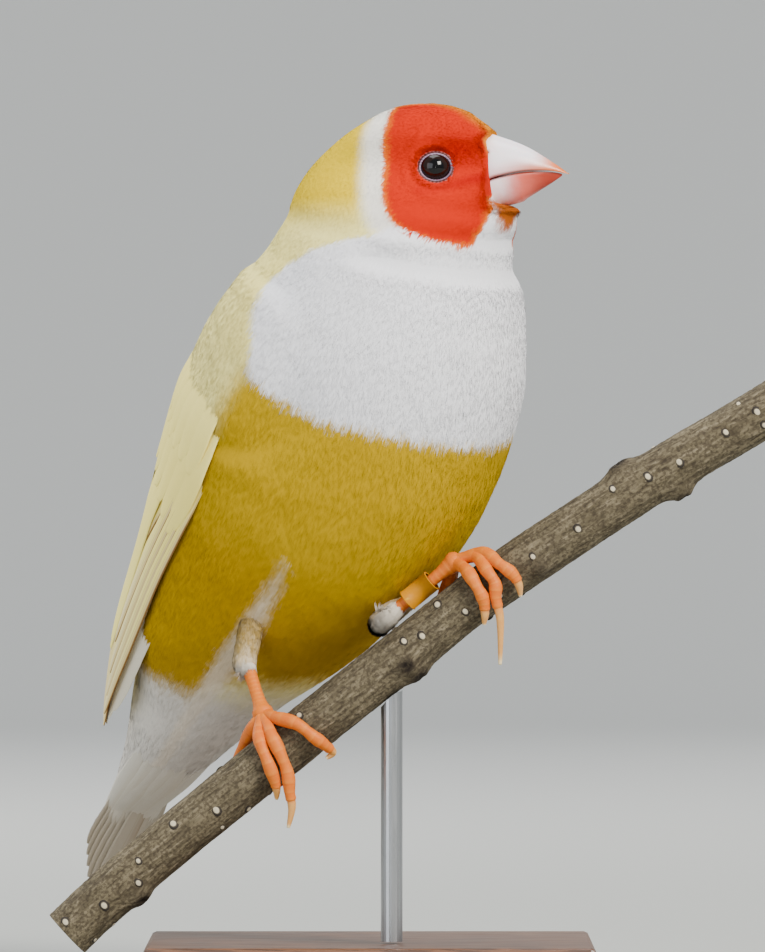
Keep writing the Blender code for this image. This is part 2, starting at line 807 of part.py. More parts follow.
def make_perch(material, parts, cutters):
    """Cut length of branch with its knots."""
    path = [perch_point(index / (PERCH_RINGS - 1)) for index in range(PERCH_RINGS)]
    radii = [PERCH_RADIUS for _ in path]
    perch = tube("perch", path, radii, PERCH_SIDES, material, parts)
    knots = []
    for x, turn, radius, height in PERCH_KNOTS:
        centre, ahead, up = perch_frame(perch_at_x(x * MM))
        roll = math.radians(turn)
        out = up * math.cos(roll) - Vector((0.0, 1.0, 0.0)) * math.sin(roll)
        low = centre + out * PERCH_RADIUS * 0.6
        path = [low, centre + out * PERCH_RADIUS, centre + out * (PERCH_RADIUS + height * MM)]
        radii = [radius * MM * 1.5, radius * MM * 1.2, radius * MM * 0.6]
        knots.append(tube("knot", path, radii, 8, material, cutters))
    fuse(perch, knots)
    return perch


# Feet: the ball of each foot, where its shank ends, and its toes from root to claw tip, all as
# (across, up) in millimetres; the last toe of each foot goes down behind the branch.
FEET = {
    "right": {
        "ball": (-14.7, 36.7),
        "heel": (-17.1, -8.2, 43.9),
        "toes": [
            [(-13.0, 36.2), (-10.1, 35.4), (-7.7, 33.6), (-6.1, 32.4), (-5.1, 31.4), (-6.0, 30.6)],
            [(-13.6, 34.0), (-12.4, 31.5), (-11.3, 28.7), (-11.0, 26.0), (-10.7, 23.8), (-11.2, 21.1)],
            [(-15.2, 34.4), (-14.9, 32.5), (-13.9, 29.9), (-13.0, 27.4), (-12.8, 26.2), (-12.8, 25.0)],
            [(-15.9, 35.0), (-17.4, 32.2), (-18.2, 29.6), (-18.6, 26.8), (-18.4, 24.8)],
        ],
        "hang": [1.2, 2.8, 1.3, 1.2],
    },
    "left": {
        "ball": (11.7, 57.6),
        "heel": (2.5, -10.6, 50.0),
        "toes": [
            [(13.3, 56.4), (14.7, 54.2), (15.6, 52.4), (15.8, 50.6), (15.7, 49.0)],
            [(14.6, 58.3), (16.2, 56.2), (17.2, 54.6), (17.3, 52.6), (17.9, 49.6), (17.9, 43.5)],
            [(15.4, 58.8), (17.8, 57.3), (19.5, 56.0), (20.4, 54.6), (20.7, 52.9)],
            [(11.2, 55.4), (9.9, 52.2), (9.4, 49.2), (9.2, 46.4), (9.6, 44.4)],
        ],
        "hang": [1.3, 2.8, 1.3, 1.2],
    },
}


def on_bark(x, z, reach, hang, side):
    """Point before (side 1) or behind (side -1) the branch, seen at x and z by the viewer."""
    seen = Vector((x * MM, PERCH_Y, z * MM))
    where = perch_at_x(x * MM)
    for _ in range(4):
        centre, ahead, up = perch_frame(where)
        where = perch_at_x(centre.x + (seen - centre).dot(ahead) * ahead.x)
    height = (seen - centre).dot(up)
    limit = reach if height > 0.0 else reach * hang
    depth = reach * math.sqrt(max(1.0 - (height / limit) ** 2, 0.0))
    return seen - Vector((0.0, side * depth, 0.0))


def leg_ends(which):
    x, z = FEET[which]["ball"]
    return Vector((x * MM, PERCH_Y, z * MM)), Vector(FEET[which]["heel"]) * MM


def toe_radius(part):
    """Radius along a toe, from its root (0) to the point of its claw (1)."""
    claw = max(part - CLAW_START, 0.0) / (1.0 - CLAW_START)
    return TOE_RADIUS * (1.08 - 0.22 * part) * (1.0 - 0.84 * claw ** 0.8)


def make_foot(which, skin, parts, cutters):
    """Ball of the foot, the end of the shank and four toes that grip the branch."""
    ball, heel = leg_ends(which)
    ankle = ball - (ball - heel).normalized() * ANKLE_HEIGHT
    foot = make_ball("foot_" + which, ball, BALL_RADIUS, skin, parts, 14, 8)
    pieces = [tube("stub", [ankle, ball], [SHANK_RADIUS, BALL_RADIUS * 0.9], 12, skin, cutters)]
    reach = PERCH_RADIUS + GAP + TOE_RADIUS
    toes = FEET[which]["toes"]
    for order, toe in enumerate(toes):
        side = -1 if order == len(toes) - 1 else 1
        hang = FEET[which]["hang"][order]
        path = [ball] + [on_bark(x, z, reach, hang, side) for x, z in toe]
        path = smooth_path(path, TOE_RINGS)
        radii = [toe_radius(index / (TOE_RINGS - 1)) for index in range(TOE_RINGS)]
        pieces.append(tube("toe", path, radii, 8, skin, cutters))
    fuse(foot, pieces)


def make_leg(which, skin, feathers, parts, cutters, torso):
    """Bare shank, and the feathered thigh from the heel into the belly."""
    ball, heel = leg_ends(which)
    down = (ball - heel).normalized()
    top = ball - down * (ANKLE_HEIGHT + GAP)
    tube("shank_" + which, [top, heel + down * GAP], [SHANK_RADIUS, SHANK_RADIUS], 12, skin, parts)
    knee = heel.lerp(body_section(THIGH_SECTION)[0], THIGH_REACH)
    hock = heel - down * THIGH_END
    path = [heel, hock, hock.lerp(knee, 0.3), knee]
    radii = [THIGH_END * grow for grow in THIGH_GROWTH]
    thigh = tube("thigh_" + which, path, radii, 12, feathers, parts)
    carve(thigh, [grown_copy(torso, GAP, cutters)])


def make_leg_ring(material, collection):
    """Plain closed ring round the left shank: a turned rectangular profile."""
    ball, heel = leg_ends("left")
    down = (ball - heel).normalized()
    half = RING_LENGTH / 2.0
    corners = [(RING_OUTER, half), (RING_OUTER, -half), (RING_INNER, -half), (RING_INNER, half)]
    mesh = bpy.data.meshes.new("leg_ring")
    mesh.from_pydata([(x, 0.0, z) for x, z in corners], [(0, 1), (1, 2), (2, 3), (3, 0)], [])
    mesh.materials.append(material)
    made = bpy.data.objects.new("leg_ring", mesh)
    collection.objects.link(made)
    turn = made.modifiers.new("turn", "SCREW")
    turn.axis = "Z"
    turn.steps = 28
    turn.render_steps = 28
    turn.use_merge_vertices = True
    turn.merge_threshold = 0.00001
    turn.use_smooth_shade = True
    made.rotation_mode = "QUATERNION"
    made.rotation_quaternion = down.to_track_quat("Z", "Y")
    made.location = ball - down * RING_PLACE


def make_base(material, parts):
    """Flat base with rounded edges."""
    bpy.ops.mesh.primitive_cube_add(size=1.0, location=(0.0, 0.0, BASE_SIZE.z / 2.0))
    base = bpy.context.active_object
    base.name = "stand_base"
    base.data.transform(Matrix.Diagonal((*BASE_SIZE, 1.0)))
    base.data.materials.append(material)
    move_to(base, parts)
    edge = base.modifiers.new("edge", "BEVEL")
    edge.width = BASE_EDGE
    edge.segments = 2


def make_rod(material, parts, perch_cutter):
    """Rod from the base up to the underside of the branch."""
    top = perch_point(perch_at_x(ROD_X)).z
    low = BASE_SIZE.z + GAP
    bpy.ops.mesh.primitive_cylinder_add(vertices=24, radius=ROD_RADIUS, depth=top - low,
                                        location=(ROD_X, PERCH_Y, (top + low) / 2.0))
    rod = bpy.context.active_object
    rod.name = "stand_rod"
    rod.data.materials.append(material)
    move_to(rod, parts)
    rod.data.transform(rod.matrix_world)
    rod.matrix_world = Matrix.Identity(4)
    carve(rod, [perch_cutter])


def move_to(item, collection):
    for owner in list(item.users_collection):
        owner.objects.unlink(item)
    collection.objects.link(item)


def main():
    clear_scene()
    parts = bpy.data.collections.new(OBJECT_NAME)
    cutters = bpy.data.collections.new("cutters")
    for collection in (parts, cutters):
        bpy.context.scene.collection.children.link(collection)
    white = make_material("white_feathers", (0.80, 0.80, 0.82), 0.85)
    yellow = make_material("yellow_feathers", (0.62, 0.38, 0.01), 0.85)
    orange = make_material("orange_feathers", (0.90, 0.10, 0.01), 0.85)
    cream = make_material("cream_feathers", (0.75, 0.70, 0.42), 0.8)
    horn = make_material("bill_horn", (0.80, 0.70, 0.68), 0.35)
    eye = make_material("eye", (0.01, 0.008, 0.006), 0.08)
    leg = make_material("leg_skin", (0.72, 0.26, 0.14), 0.5)
    bark = make_material("bark", (0.20, 0.17, 0.13), 0.9)
    ring = make_material("ring_yellow", (0.72, 0.36, 0.01), 0.35)
    wood = make_material("stand_wood", (0.10, 0.06, 0.04), 0.5)
    metal = make_material("stand_steel", (0.6, 0.6, 0.6), 0.35, 1.0)

    torso = make_torso(yellow, parts)
    make_neck(white, parts)
    make_head(orange, eye, horn, parts, cutters)
    make_wing("wing_right", 1, cream, parts, cutters)
    make_wing("wing_left", -1, cream, parts, cutters)
    make_tail(white, parts, cutters)
    perch = make_perch(bark, parts, cutters)
    for which in ("right", "left"):
        make_foot(which, leg, parts, cutters)
        make_leg(which, leg, white, parts, cutters, torso)
    make_leg_ring(ring, parts)
    make_base(wood, parts)
    make_rod(metal, parts, grown_copy(perch, GAP, cutters))


main()
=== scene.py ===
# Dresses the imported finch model: skin and feathers, bill, eyes, legs, ring, branch and stand.
import math
import random

import bmesh
import bpy
import numpy as np
from mathutils import Matrix, Vector, noise
from mathutils.bvhtree import BVHTree


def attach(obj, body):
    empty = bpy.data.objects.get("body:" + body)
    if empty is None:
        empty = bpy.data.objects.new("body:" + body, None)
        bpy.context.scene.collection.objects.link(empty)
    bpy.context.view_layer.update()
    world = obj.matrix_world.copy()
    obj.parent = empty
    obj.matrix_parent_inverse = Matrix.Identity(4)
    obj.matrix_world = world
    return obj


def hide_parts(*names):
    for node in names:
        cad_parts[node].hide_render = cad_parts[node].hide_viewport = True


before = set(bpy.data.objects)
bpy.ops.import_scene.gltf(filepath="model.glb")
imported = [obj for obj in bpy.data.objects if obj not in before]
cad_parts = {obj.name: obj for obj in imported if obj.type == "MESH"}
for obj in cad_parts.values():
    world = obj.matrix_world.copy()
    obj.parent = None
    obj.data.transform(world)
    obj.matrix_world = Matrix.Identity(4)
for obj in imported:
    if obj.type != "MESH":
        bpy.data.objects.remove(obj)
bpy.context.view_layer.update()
mm = 0.001
up = Vector((0.0, 0.0, 1.0))

# Body rows from the root of the tail to the crown, in millimetres and degrees, as in the solids:
# forward, height, lean of the axis, reach in front, reach behind, half width, heading, taper.
body = {
    "middle": (-3.5, -2.0, 0.0),
    "heading": 45.0,
    "headHeading": 12.0,
    "rows": [
        (-42.4, 23.0, 54.0, 1.9, 1.5, 5.4, 45.0, 0.00),
        (-34.5, 31.4, 53.0, 5.6, 6.2, 8.2, 45.0, 0.00),
        (-26.2, 42.3, 52.0, 11.0, 11.4, 12.2, 45.0, 0.00),
        (-16.4, 53.5, 53.0, 17.2, 15.4, 17.0, 45.0, 0.00),
        (-7.8, 64.7, 56.0, 21.8, 19.6, 20.6, 45.0, 0.00),
        (-0.8, 75.8, 60.0, 24.2, 21.6, 21.9, 45.0, 0.00),
        (5.1, 86.9, 66.0, 23.6, 20.8, 21.3, 45.0, 0.00),
        (9.1, 96.0, 73.0, 20.2, 18.6, 18.6, 42.0, 0.00),
        (10.6, 102.9, 80.0, 16.4, 16.4, 15.4, 32.0, 0.00),
        (11.6, 107.8, 85.0, 15.6, 15.4, 12.6, 22.0, 0.04),
        (12.4, 112.2, 89.0, 11.4, 13.4, 9.2, 12.0, 0.12),
        (13.6, 116.1, 90.0, 11.0, 10.2, 8.0, 12.0, 0.14),
        (15.2, 118.8, 90.0, 7.8, 7.1, 5.5, 12.0, 0.12),
        (15.8, 120.1, 90.0, 4.6, 4.5, 3.4, 12.0, 0.08),
        (15.8, 120.6, 90.0, 2.0, 2.0, 1.5, 12.0, 0.00),
    ],
}

# Folded wing over the body: place along the body, height over it, lower and upper edge in degrees.
wing = {
    "stations": [
        (1.02, 4.9, 115.0, 138.0),
        (1.35, 5.1, 103.0, 156.0),
        (2.00, 4.9, 92.5, 168.0),
        (3.00, 4.1, 88.5, 172.0),
        (4.00, 3.1, 84.5, 172.0),
        (5.00, 2.7, 87.5, 168.0),
        (5.90, 2.3, 93.0, 161.0),
        (6.50, 1.8, 101.0, 149.0),
        (6.85, 1.4, 112.0, 134.0),
    ],
    "sink": 0.8,        # the long feathers lie this much deeper than the outside of the solid
}


# colour as a picture program gives it, turned into Blender's linear values
def colour(red, green, blue):
    parts = [channel / 255.0 for channel in (red, green, blue)]
    return (*[p / 12.92 if p <= 0.04045 else ((p + 0.055) / 1.055) ** 2.4 for p in parts], 1.0)


def ramp(value, low, high):
    part = np.clip((np.asarray(value, float) - low) / (high - low), 0.0, 1.0)
    return part * part * (3.0 - 2.0 * part)


# smooth curve through rows of numbers, read at fractional row numbers
def curveAt(rows, places):
    rows = np.asarray(rows, float)
    places = np.clip(np.atleast_1d(np.asarray(places, float)), 0.0, len(rows) - 1.0)
    low = np.minimum(places.astype(int), len(rows) - 2)
    part = (places - low)[:, None]
    a = rows[np.maximum(low - 1, 0)]
    b = rows[low]
    c = rows[low + 1]
    d = rows[np.minimum(low + 2, len(rows) - 1)]
    bend = (2.0 * a - 5.0 * b + 4.0 * c - d) * part ** 2
    twist = (3.0 * b - a - 3.0 * c + d) * part ** 3
    return 0.5 * (2.0 * b + (c - a) * part + bend + twist)


def headings(degrees):
    turn = np.radians(degrees)
    zero = np.zeros_like(turn)
    ahead = np.stack([np.cos(turn), -np.sin(turn), zero], -1)
    right = np.stack([-np.sin(turn), -np.cos(turn), zero], -1)
    return ahead, right


headAhead, headRight = (Vector(v) for v in headings(np.array(body["headHeading"])))
bodyAhead, bodyRight = (Vector(v) for v in headings(np.array(body["heading"])))


def bodyFrames(places):
    rows = curveAt(body["rows"], places)
    ahead, right = headings(rows[:, 6])
    tilt = np.radians(rows[:, 2])
    belly = ahead * np.sin(tilt)[:, None] - np.outer(np.cos(tilt), (0.0, 0.0, 1.0))
    centre = np.array(body["middle"]) + np.outer(rows[:, 0], bodyAhead)
    centre[:, 2] += rows[:, 1]
    return centre * mm, belly, right, rows[:, 3:6] * mm, rows[:, 7]


# points on the body; degrees run from the breast (0) by the bird's right side to the spine (180)
def bodyPoints(places, degrees, lifts=0.0):
    centre, belly, right, reach, taper = bodyFrames(places)
    turns = np.radians(degrees)
    ahead = np.cos(turns)
    along = ahead * np.where(ahead > 0.0, reach[:, 0], reach[:, 1])
    across = np.sin(turns) * reach[:, 2] * (1.0 - taper * ahead)
    out = belly * along[:, None] + right * across[:, None]
    size = np.linalg.norm(out, axis=1, keepdims=True)
    lifts = np.broadcast_to(lifts, size[:, 0].shape).reshape(-1, 1)
    return centre + out * (1.0 + lifts / size)


def bodyPoint(place, degrees, lift=0.0):
    return Vector(bodyPoints(np.array([place]), np.array([degrees]), lift)[0])


def newObject(name, points, faces, smooth=True):
    mesh = bpy.data.meshes.new(name)
    mesh.from_pydata([tuple(p) for p in points], [], faces)
    mesh.update()
    if smooth:
        mesh.shade_smooth()
    made = bpy.data.objects.new(name, mesh)
    bpy.context.scene.collection.objects.link(made)
    return made


def setField(mesh, name, values, kind="FLOAT", domain="POINT"):
    field = mesh.attributes.new(name, kind, domain)
    key = "value" if kind == "FLOAT" else "vector"
    field.data.foreach_set(key, np.ascontiguousarray(values, np.float32).ravel())


def faceOutwards(item, merge=1e-7):
    work = bmesh.new()
    work.from_mesh(item.data)
    bmesh.ops.remove_doubles(work, verts=work.verts, dist=merge)
    bmesh.ops.recalc_face_normals(work, faces=work.faces)
    if work.calc_volume(signed=True) < 0.0:
        bmesh.ops.reverse_faces(work, faces=work.faces)
    work.to_mesh(item.data)
    work.free()


# quads between rings of points, each ring closed on itself unless told otherwise
def ringFaces(rings, sides, closed=True, start=0):
    index = np.arange(rings * sides).reshape(rings, sides) + start
    low = index[:-1]
    high = index[1:]
    if closed:
        lowNext = np.roll(low, -1, 1)
        highNext = np.roll(high, -1, 1)
    else:
        low, lowNext = low[:, :-1], low[:, 1:]
        high, highNext = high[:, :-1], high[:, 1:]
    quads = np.stack([low, lowNext, highNext, high], -1).reshape(-1, 4)
    return [tuple(int(k) for k in quad) for quad in quads]


# closed skin through rings of points, with both ends shut
def loft(name, rings, smooth=True):
    sides = len(rings[0])
    points = [p for ring in rings for p in ring]
    faces = ringFaces(len(rings), sides)
    points += [sum((Vector(p) for p in ring), Vector()) / sides for ring in (rings[0], rings[-1])]
    last = (len(rings) - 1) * sides
    for side in range(sides):
        following = (side + 1) % sides
        faces.append((following, side, len(points) - 2))
        faces.append((last + side, last + following, len(points) - 1))
    made = newObject(name, points, faces, smooth)
    faceOutwards(made)
    return made


def tubeRings(path, radii, sides, turn=0.0):
    rings = []
    across = None
    for index, place in enumerate(path):
        ahead = (path[min(index + 1, len(path) - 1)] - path[max(index - 1, 0)]).normalized()
        if across is None:
            across = ahead.orthogonal().normalized()
        across = (across - ahead * across.dot(ahead)).normalized()
        beside = ahead.cross(across)
        ring = []
        for side in range(sides):
            angle = turn + 2.0 * math.pi * side / sides
            ring.append(place + (across * math.cos(angle) + beside * math.sin(angle)) * radii[index])
        rings.append(ring)
    return rings


def smoothPath(points, count):
    rows = curveAt([tuple(p) for p in points], np.linspace(0.0, len(points) - 1.0, count))
    return [Vector(row) for row in rows]


# joins finished objects of one material into one new object, and removes them
def joinObjects(name, items):
    work = bmesh.new()
    for item in items:
        work.from_mesh(item.data)
    mesh = bpy.data.meshes.new(name)
    work.to_mesh(mesh)
    work.free()
    mesh.shade_smooth()
    made = bpy.data.objects.new(name, mesh)
    bpy.context.scene.collection.objects.link(made)
    for item in items:
        bpy.data.objects.remove(item)
    return made


# a finished piece gets its finish, and stands for the solids named
def handOver(item, material, slot, *nodes):
    if material:
        item.data.materials.clear()
        item.data.materials.append(material)
    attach(item, "root")
    if nodes:
        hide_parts(*nodes)
    print("made", item.name, len(item.data.polygons), "faces")
    return item


# one node of a shader or geometry tree; a value that is a socket is linked, any other is set
def addNode(tree, kind, values=None, **settings):
    made = tree.nodes.new(kind)
    for key, value in settings.items():
        setattr(made, key, value)
    for key, value in (values or {}).items():
        if isinstance(value, bpy.types.NodeSocket):
            tree.links.new(value, made.inputs[key])
        else:
            made.inputs[key].default_value = value
    return made


def newFinish(name, **fixed):
    material = bpy.data.materials.new(name)
    material.use_nodes = True
    plug(material.node_tree, **fixed)
    return material, material.node_tree


def plug(tree, **values):
    shader = tree.nodes["Principled BSDF"]
    for name, value in values.items():
        socket = shader.inputs[name.replace("_", " ")]
        if isinstance(value, bpy.types.NodeSocket):
            tree.links.new(value, socket)
        else:
            socket.default_value = value


def fieldOf(tree, name):
    return addNode(tree, "ShaderNodeAttribute", attribute_name=name).outputs["Fac"]


def stepUp(tree, value, low, high, start=0.0, end=1.0):
    values = {0: value, 1: low, 2: high, 3: start, 4: end}
    return addNode(tree, "ShaderNodeMapRange", values, interpolation_type="SMOOTHSTEP").outputs[0]


def maths(tree, operation, first, second=0.0, third=0.0):
    values = {0: first, 1: second, 2: third}
    return addNode(tree, "ShaderNodeMath", values, operation=operation).outputs[0]


def mixColour(tree, factor, first, second, blend="MIX"):
    values = {0: factor, 6: first, 7: second}
    return addNode(tree, "ShaderNodeMix", values, data_type="RGBA", blend_type=blend).outputs[2]


def objectSpace(tree, scale=(1.0, 1.0, 1.0), turn=(0.0, 0.0, 0.0)):
    place = addNode(tree, "ShaderNodeTexCoord").outputs["Object"]
    values = {"Vector": place, "Rotation": turn, "Scale": scale}
    return addNode(tree, "ShaderNodeMapping", values).outputs[0]


def noiseOf(tree, scale, detail=3.0, vector=None, roughness=0.5):
    vector = vector or objectSpace(tree)
    values = {"Vector": vector, "Scale": scale, "Detail": detail, "Roughness": roughness}
    return addNode(tree, "ShaderNodeTexNoise", values).outputs["Fac"]


def bumpOf(tree, height, strength, distance, before=None):
    values = {"Height": height, "Strength": strength, "Distance": distance}
    if before:
        values["Normal"] = before
    return addNode(tree, "ShaderNodeBump", values).outputs["Normal"]


# an empty geometry tree with its named inputs; gives the tree, its input node and identifiers
def newTree(name, inputs):
    tree = bpy.data.node_groups.new(name, "GeometryNodeTree")
    kinds = {float: "NodeSocketFloat", int: "NodeSocketInt"}
    tree.interface.new_socket("Geometry", in_out="INPUT", socket_type="NodeSocketGeometry")
    tree.interface.new_socket("Geometry", in_out="OUTPUT", socket_type="NodeSocketGeometry")
    identifiers = {}
    for label, value in inputs.items():
        kind = kinds.get(type(value)) or value
        socket = tree.interface.new_socket(label, in_out="INPUT", socket_type=kind)
        identifiers[label] = socket.identifier
    return tree, tree.nodes.new("NodeGroupInput"), identifiers


def endTree(tree, geometry, material):
    realized = addNode(tree, "GeometryNodeRealizeInstances", {0: geometry})
    painted = addNode(tree, "GeometryNodeSetMaterial", {0: realized.outputs[0], "Material": material})
    addNode(tree, "NodeGroupOutput", {0: painted.outputs[0]})


# runs a tree on a carrier object and gives its result as a plain mesh object
def growOn(carrier, tree, identifiers, values, name):
    modifier = carrier.modifiers.new("grow", "NODES")
    modifier.node_group = tree
    for label, value in values.items():
        modifier[identifiers[label]] = value
    bpy.context.view_layer.update()
    graph = bpy.context.evaluated_depsgraph_get()
    mesh = bpy.data.meshes.new_from_object(carrier.evaluated_get(graph), depsgraph=graph)
    carrier.modifiers.remove(modifier)
    bpy.data.objects.remove(carrier)
    mesh.name = name
    made = bpy.data.objects.new(name, mesh)
    bpy.context.scene.collection.objects.link(made)
    return made


# Camera of the photo, level with the breast: one millimetre at the bird is 7.2 pixels.
camera = {
    "place": (0.00174, -1.5, 0.0694),
    "pixelsPerMetre": 7200.0,
    "imageSize": (765, 952),
    "sensor": 36.0,
}


def makeCamera():
    lens = bpy.data.cameras.new("photoCamera")
    lens.sensor_width = camera["sensor"]
    frameHeight = camera["imageSize"][1] / camera["pixelsPerMetre"]
    lens.lens = camera["sensor"] * -camera["place"][1] / frameHeight
    lens.clip_start = 0.05
    made = bpy.data.objects.new("photoCamera", lens)
    made.location = camera["place"]
    made.rotation_euler = (math.radians(90.0), 0.0, 0.0)
    bpy.context.scene.collection.objects.link(made)
    bpy.context.scene.camera = made


studio = {
    "floorWidth": 6.0,
    "front": -2.6,
    "back": 2.4,
    "bend": 0.9,
    "height": 3.0,
    "paper": (160, 163, 160),
    "farPaper": (236, 238, 236),
    # place, aim, width, height, power in watts and colour of each light
    "lights": [
        ("keyLight", (0.55, -0.75, 0.75), (0.0, 0.0, 0.075), 0.45, 0.45, 22.0, (255, 250, 242)),
        ("fillLight", (-0.75, -0.85, 0.35), (0.0, 0.0, 0.07), 0.8, 0.8, 6.0, (244, 248, 255)),
        ("topLight", (-0.1, 0.15, 0.95), (0.0, 0.0, 0.08), 0.7, 0.7, 9.5, (255, 255, 255)),
        ("rimLight", (-0.6, 0.55, 0.45), (0.0, 0.0, 0.08), 0.3, 0.5, 4.0, (255, 252, 245)),
    ],
    "skyStrength": 0.48,
}


def makeStudio():
    profile = [(studio["front"], 0.0)]
    for step in range(25):
        turn = math.pi / 2.0 * step / 24
        profile.append((studio["back"] - studio["bend"] + studio["bend"] * math.sin(turn),
                        studio["bend"] * (1.0 - math.cos(turn))))
    profile.append((studio["back"], studio["height"]))
    half = studio["floorWidth"] / 2.0
    points = [(x, y, z) for y, z in profile for x in (-half, half)]
    faces = [(k * 2, k * 2 + 1, k * 2 + 3, k * 2 + 2) for k in range(len(profile) - 1)]
    sweep = newObject("studioSweep", points, faces)
    material, tree = newFinish("palePaper", Roughness=0.9, Specular_IOR_Level=0.2)
    grain = noiseOf(tree, 900.0, 2.0)
    near = mixColour(tree, grain, colour(*studio["paper"]), colour(166, 168, 165))
    # the far end of the paper is paler, since less of the light reaches it
    depth = addNode(tree, "ShaderNodeSeparateXYZ", {0: objectSpace(tree)}).outputs[1]
    far = stepUp(tree, depth, 0.1, 1.3)
    plug(tree, Base_Color=mixColour(tree, far, near, colour(*studio["farPaper"])))
    sweep.data.materials.append(material)
    for name, place, aim, width, height, power, tint in studio["lights"]:
        lamp = bpy.data.lights.new(name, "AREA")
        lamp.shape = "RECTANGLE"
        lamp.size = width
        lamp.size_y = height
        lamp.energy = power
        lamp.color = colour(*tint)[:3]
        made = bpy.data.objects.new(name, lamp)
        made.location = place
        made.rotation_euler = (Vector(aim) - Vector(place)).to_track_quat("-Z", "Y").to_euler()
        bpy.context.scene.collection.objects.link(made)
    world = bpy.data.worlds.new("studioWorld")
    world.use_nodes = True
    world.node_tree.nodes["Background"].inputs["Color"].default_value = (0.93, 0.96, 1.0, 1.0)
    world.node_tree.nodes["Background"].inputs["Strength"].default_value = studio["skyStrength"]
    bpy.context.scene.world = world


makeCamera()
makeStudio()
print("camera and studio ready")


# Plumage in millimetres: how deep the skin lies under the solids, and the soft forms of the skin.
plumage = {
    "bodyDepth": 0.60,
    "headDepth": 0.32,
    "tailReach": 9.0,       # feathers of the vent run on past the last row of the body
    "ruff": 0.35,           # fold of the throat where the head turns
    "unevenness": 0.09,
    "billRim": 2.3,        # how far the face swells round the root of the bill
    "throatRim": 0.6,
    # feather line round the bill: heights, and how far ahead it stands at each
    "rootHeights": (106.5, 110.0, 113.5, 115.6, 116.5, 117.5, 118.6),
    "rootAhead": (20.0, 19.6, 19.35, 18.8, 19.35, 18.7, 17.4),
    "socket": 1.9,
    "socketSoft": 0.3,
    "skinRings": 190,
    "skinSides": 144,
    "cornerDegrees": 1.6,
}

tail = {
    "root": (-36.4, 29.0),
    "tip": (-50.4, 9.8),
}

wingRows = curveAt(wing["stations"], np.linspace(0.0, 8.0, 600))


def wingAt(places):
    return [np.interp(places, wingRows[:, 0], wingRows[:, k]) for k in (1, 2, 3)]


def onBody(forward, height):
    place = Vector(body["middle"]) + bodyAhead * forward
    return Vector((place.x, place.y, height)) * mm


tailStart = onBody(*tail["root"])
tailAlong = (onBody(*tail["tip"]) - tailStart).normalized()
tailUp = bodyRight.cross(tailAlong)


# height of the skin over the solid body: raised over the shoulder of the wing, beside its lower
# edge, between the wings and round the root of the bill, so that the small feathers run on over them
def skinLift(places, degrees):
    turn = np.abs(degrees)
    over, low, high = wingAt(places)
    head = ramp(places, 7.9, 8.6)
    depth = plumage["bodyDepth"] * (1.0 - head) + plumage["headDepth"] * head
    inside = ramp(turn, low - 24.0, low + 8.0) * (1.0 - ramp(turn, high + 2.0, high + 18.0))
    over = np.maximum(over - wing["sink"], 0.0)
    shoulder = inside * ramp(places, 4.1, 5.2) * (1.0 - ramp(places, 6.5, 7.3)) * over
    flank = ramp(turn, 52.0, low + 1.0) * (1.0 - ramp(turn, low + 5.0, low + 18.0))
    flank = flank * ramp(places, 1.5, 2.6) * (1.0 - ramp(places, 4.7, 5.5)) * over * 0.78
    mantle = ramp(turn, high - 18.0, high) * ramp(places, 1.9, 3.0)
    mantle = mantle * (1.0 - ramp(places, 6.2, 7.0)) * over * 0.9
    fold = np.exp(-((places - 8.02) / 0.17) ** 2) - np.exp(-((places - 7.64) / 0.15) ** 2)
    fold = fold * plumage["ruff"] * (1.0 - ramp(turn, 58.0, 84.0))
    root = plumage["billRim"] * ramp(places, 8.7, 9.7) * (1.0 - ramp(places, 10.6, 12.0))
    root = root * (1.0 - ramp(turn, 34.0, 74.0))
    throat = plumage["throatRim"] * ramp(places, 7.9, 8.5) * (1.0 - ramp(places, 9.4, 10.0))
    throat = throat * (1.0 - ramp(turn, 30.0, 70.0))
    return np.maximum.reduce([shoulder, flank, mantle]) - depth + fold + root + throat


def rootLine(height):
    return np.interp(height, plumage["rootHeights"], plumage["rootAhead"])


# the bill stands in a shallow recess of the face, and each eye in its socket
def recess(points):
    forward = points @ np.array(headAhead)
    beside = np.abs((points - np.array(onBody(12.4, 0.0)) / mm) @ np.array(headRight))
    height = points[:, 2]
    inside = ramp(height, 106.1, 107.2) * (1.0 - ramp(height, 118.4, 119.2))
    inside = inside * (1.0 - ramp(beside, 7.0, 9.0))
    over = np.maximum(forward - rootLine(height), 0.0) * inside
    points = points - np.outer(over, np.array(headAhead))
    for side in (1, -1):
        outward = np.array(eyeOutward(side))
        away = points - np.array(eyeCentre(side)) / mm
        out = away @ outward
        away = np.linalg.norm(away - np.outer(out, outward), axis=1)
        press = plumage["socket"] * (1.0 - ramp(away, 1.7, 2.5))
        press = (press + plumage["socketSoft"] * (1.0 - ramp(away, 2.0, 4.5))) * (out > 0.0)
        points = points - np.outer(press, outward)
    return points


# points of the skin; places under 0 run on over the coverts of the tail to -1
def skinPoints(places, degrees, extra=0.0):
    places = np.asarray(places, float)
    held = np.clip(places, 0.0, 14.0)
    lift = skinLift(held, degrees)
    flat = bodyPoints(held, degrees, lift * mm)
    swell = np.array([noise.noise(Vector(p) / (5.5 * mm)) for p in flat])
    calm = 1.0 - 0.75 * ramp(held, 7.6, 8.6)
    points = bodyPoints(held, degrees, (lift + swell * plumage["unevenness"] * calm + extra) * mm)
    points = recess(points / mm) * mm
    beyond = np.clip(-places, 0.0, 1.0)[:, None]
    middle = bodyFrames(np.zeros(1))[0]
    shift = np.array(tailAlong) * plumage["tailReach"] * mm * beyond
    return np.where(beyond > 0.0, middle + shift + (points - middle) * (1.0 - beyond ** 2), points)


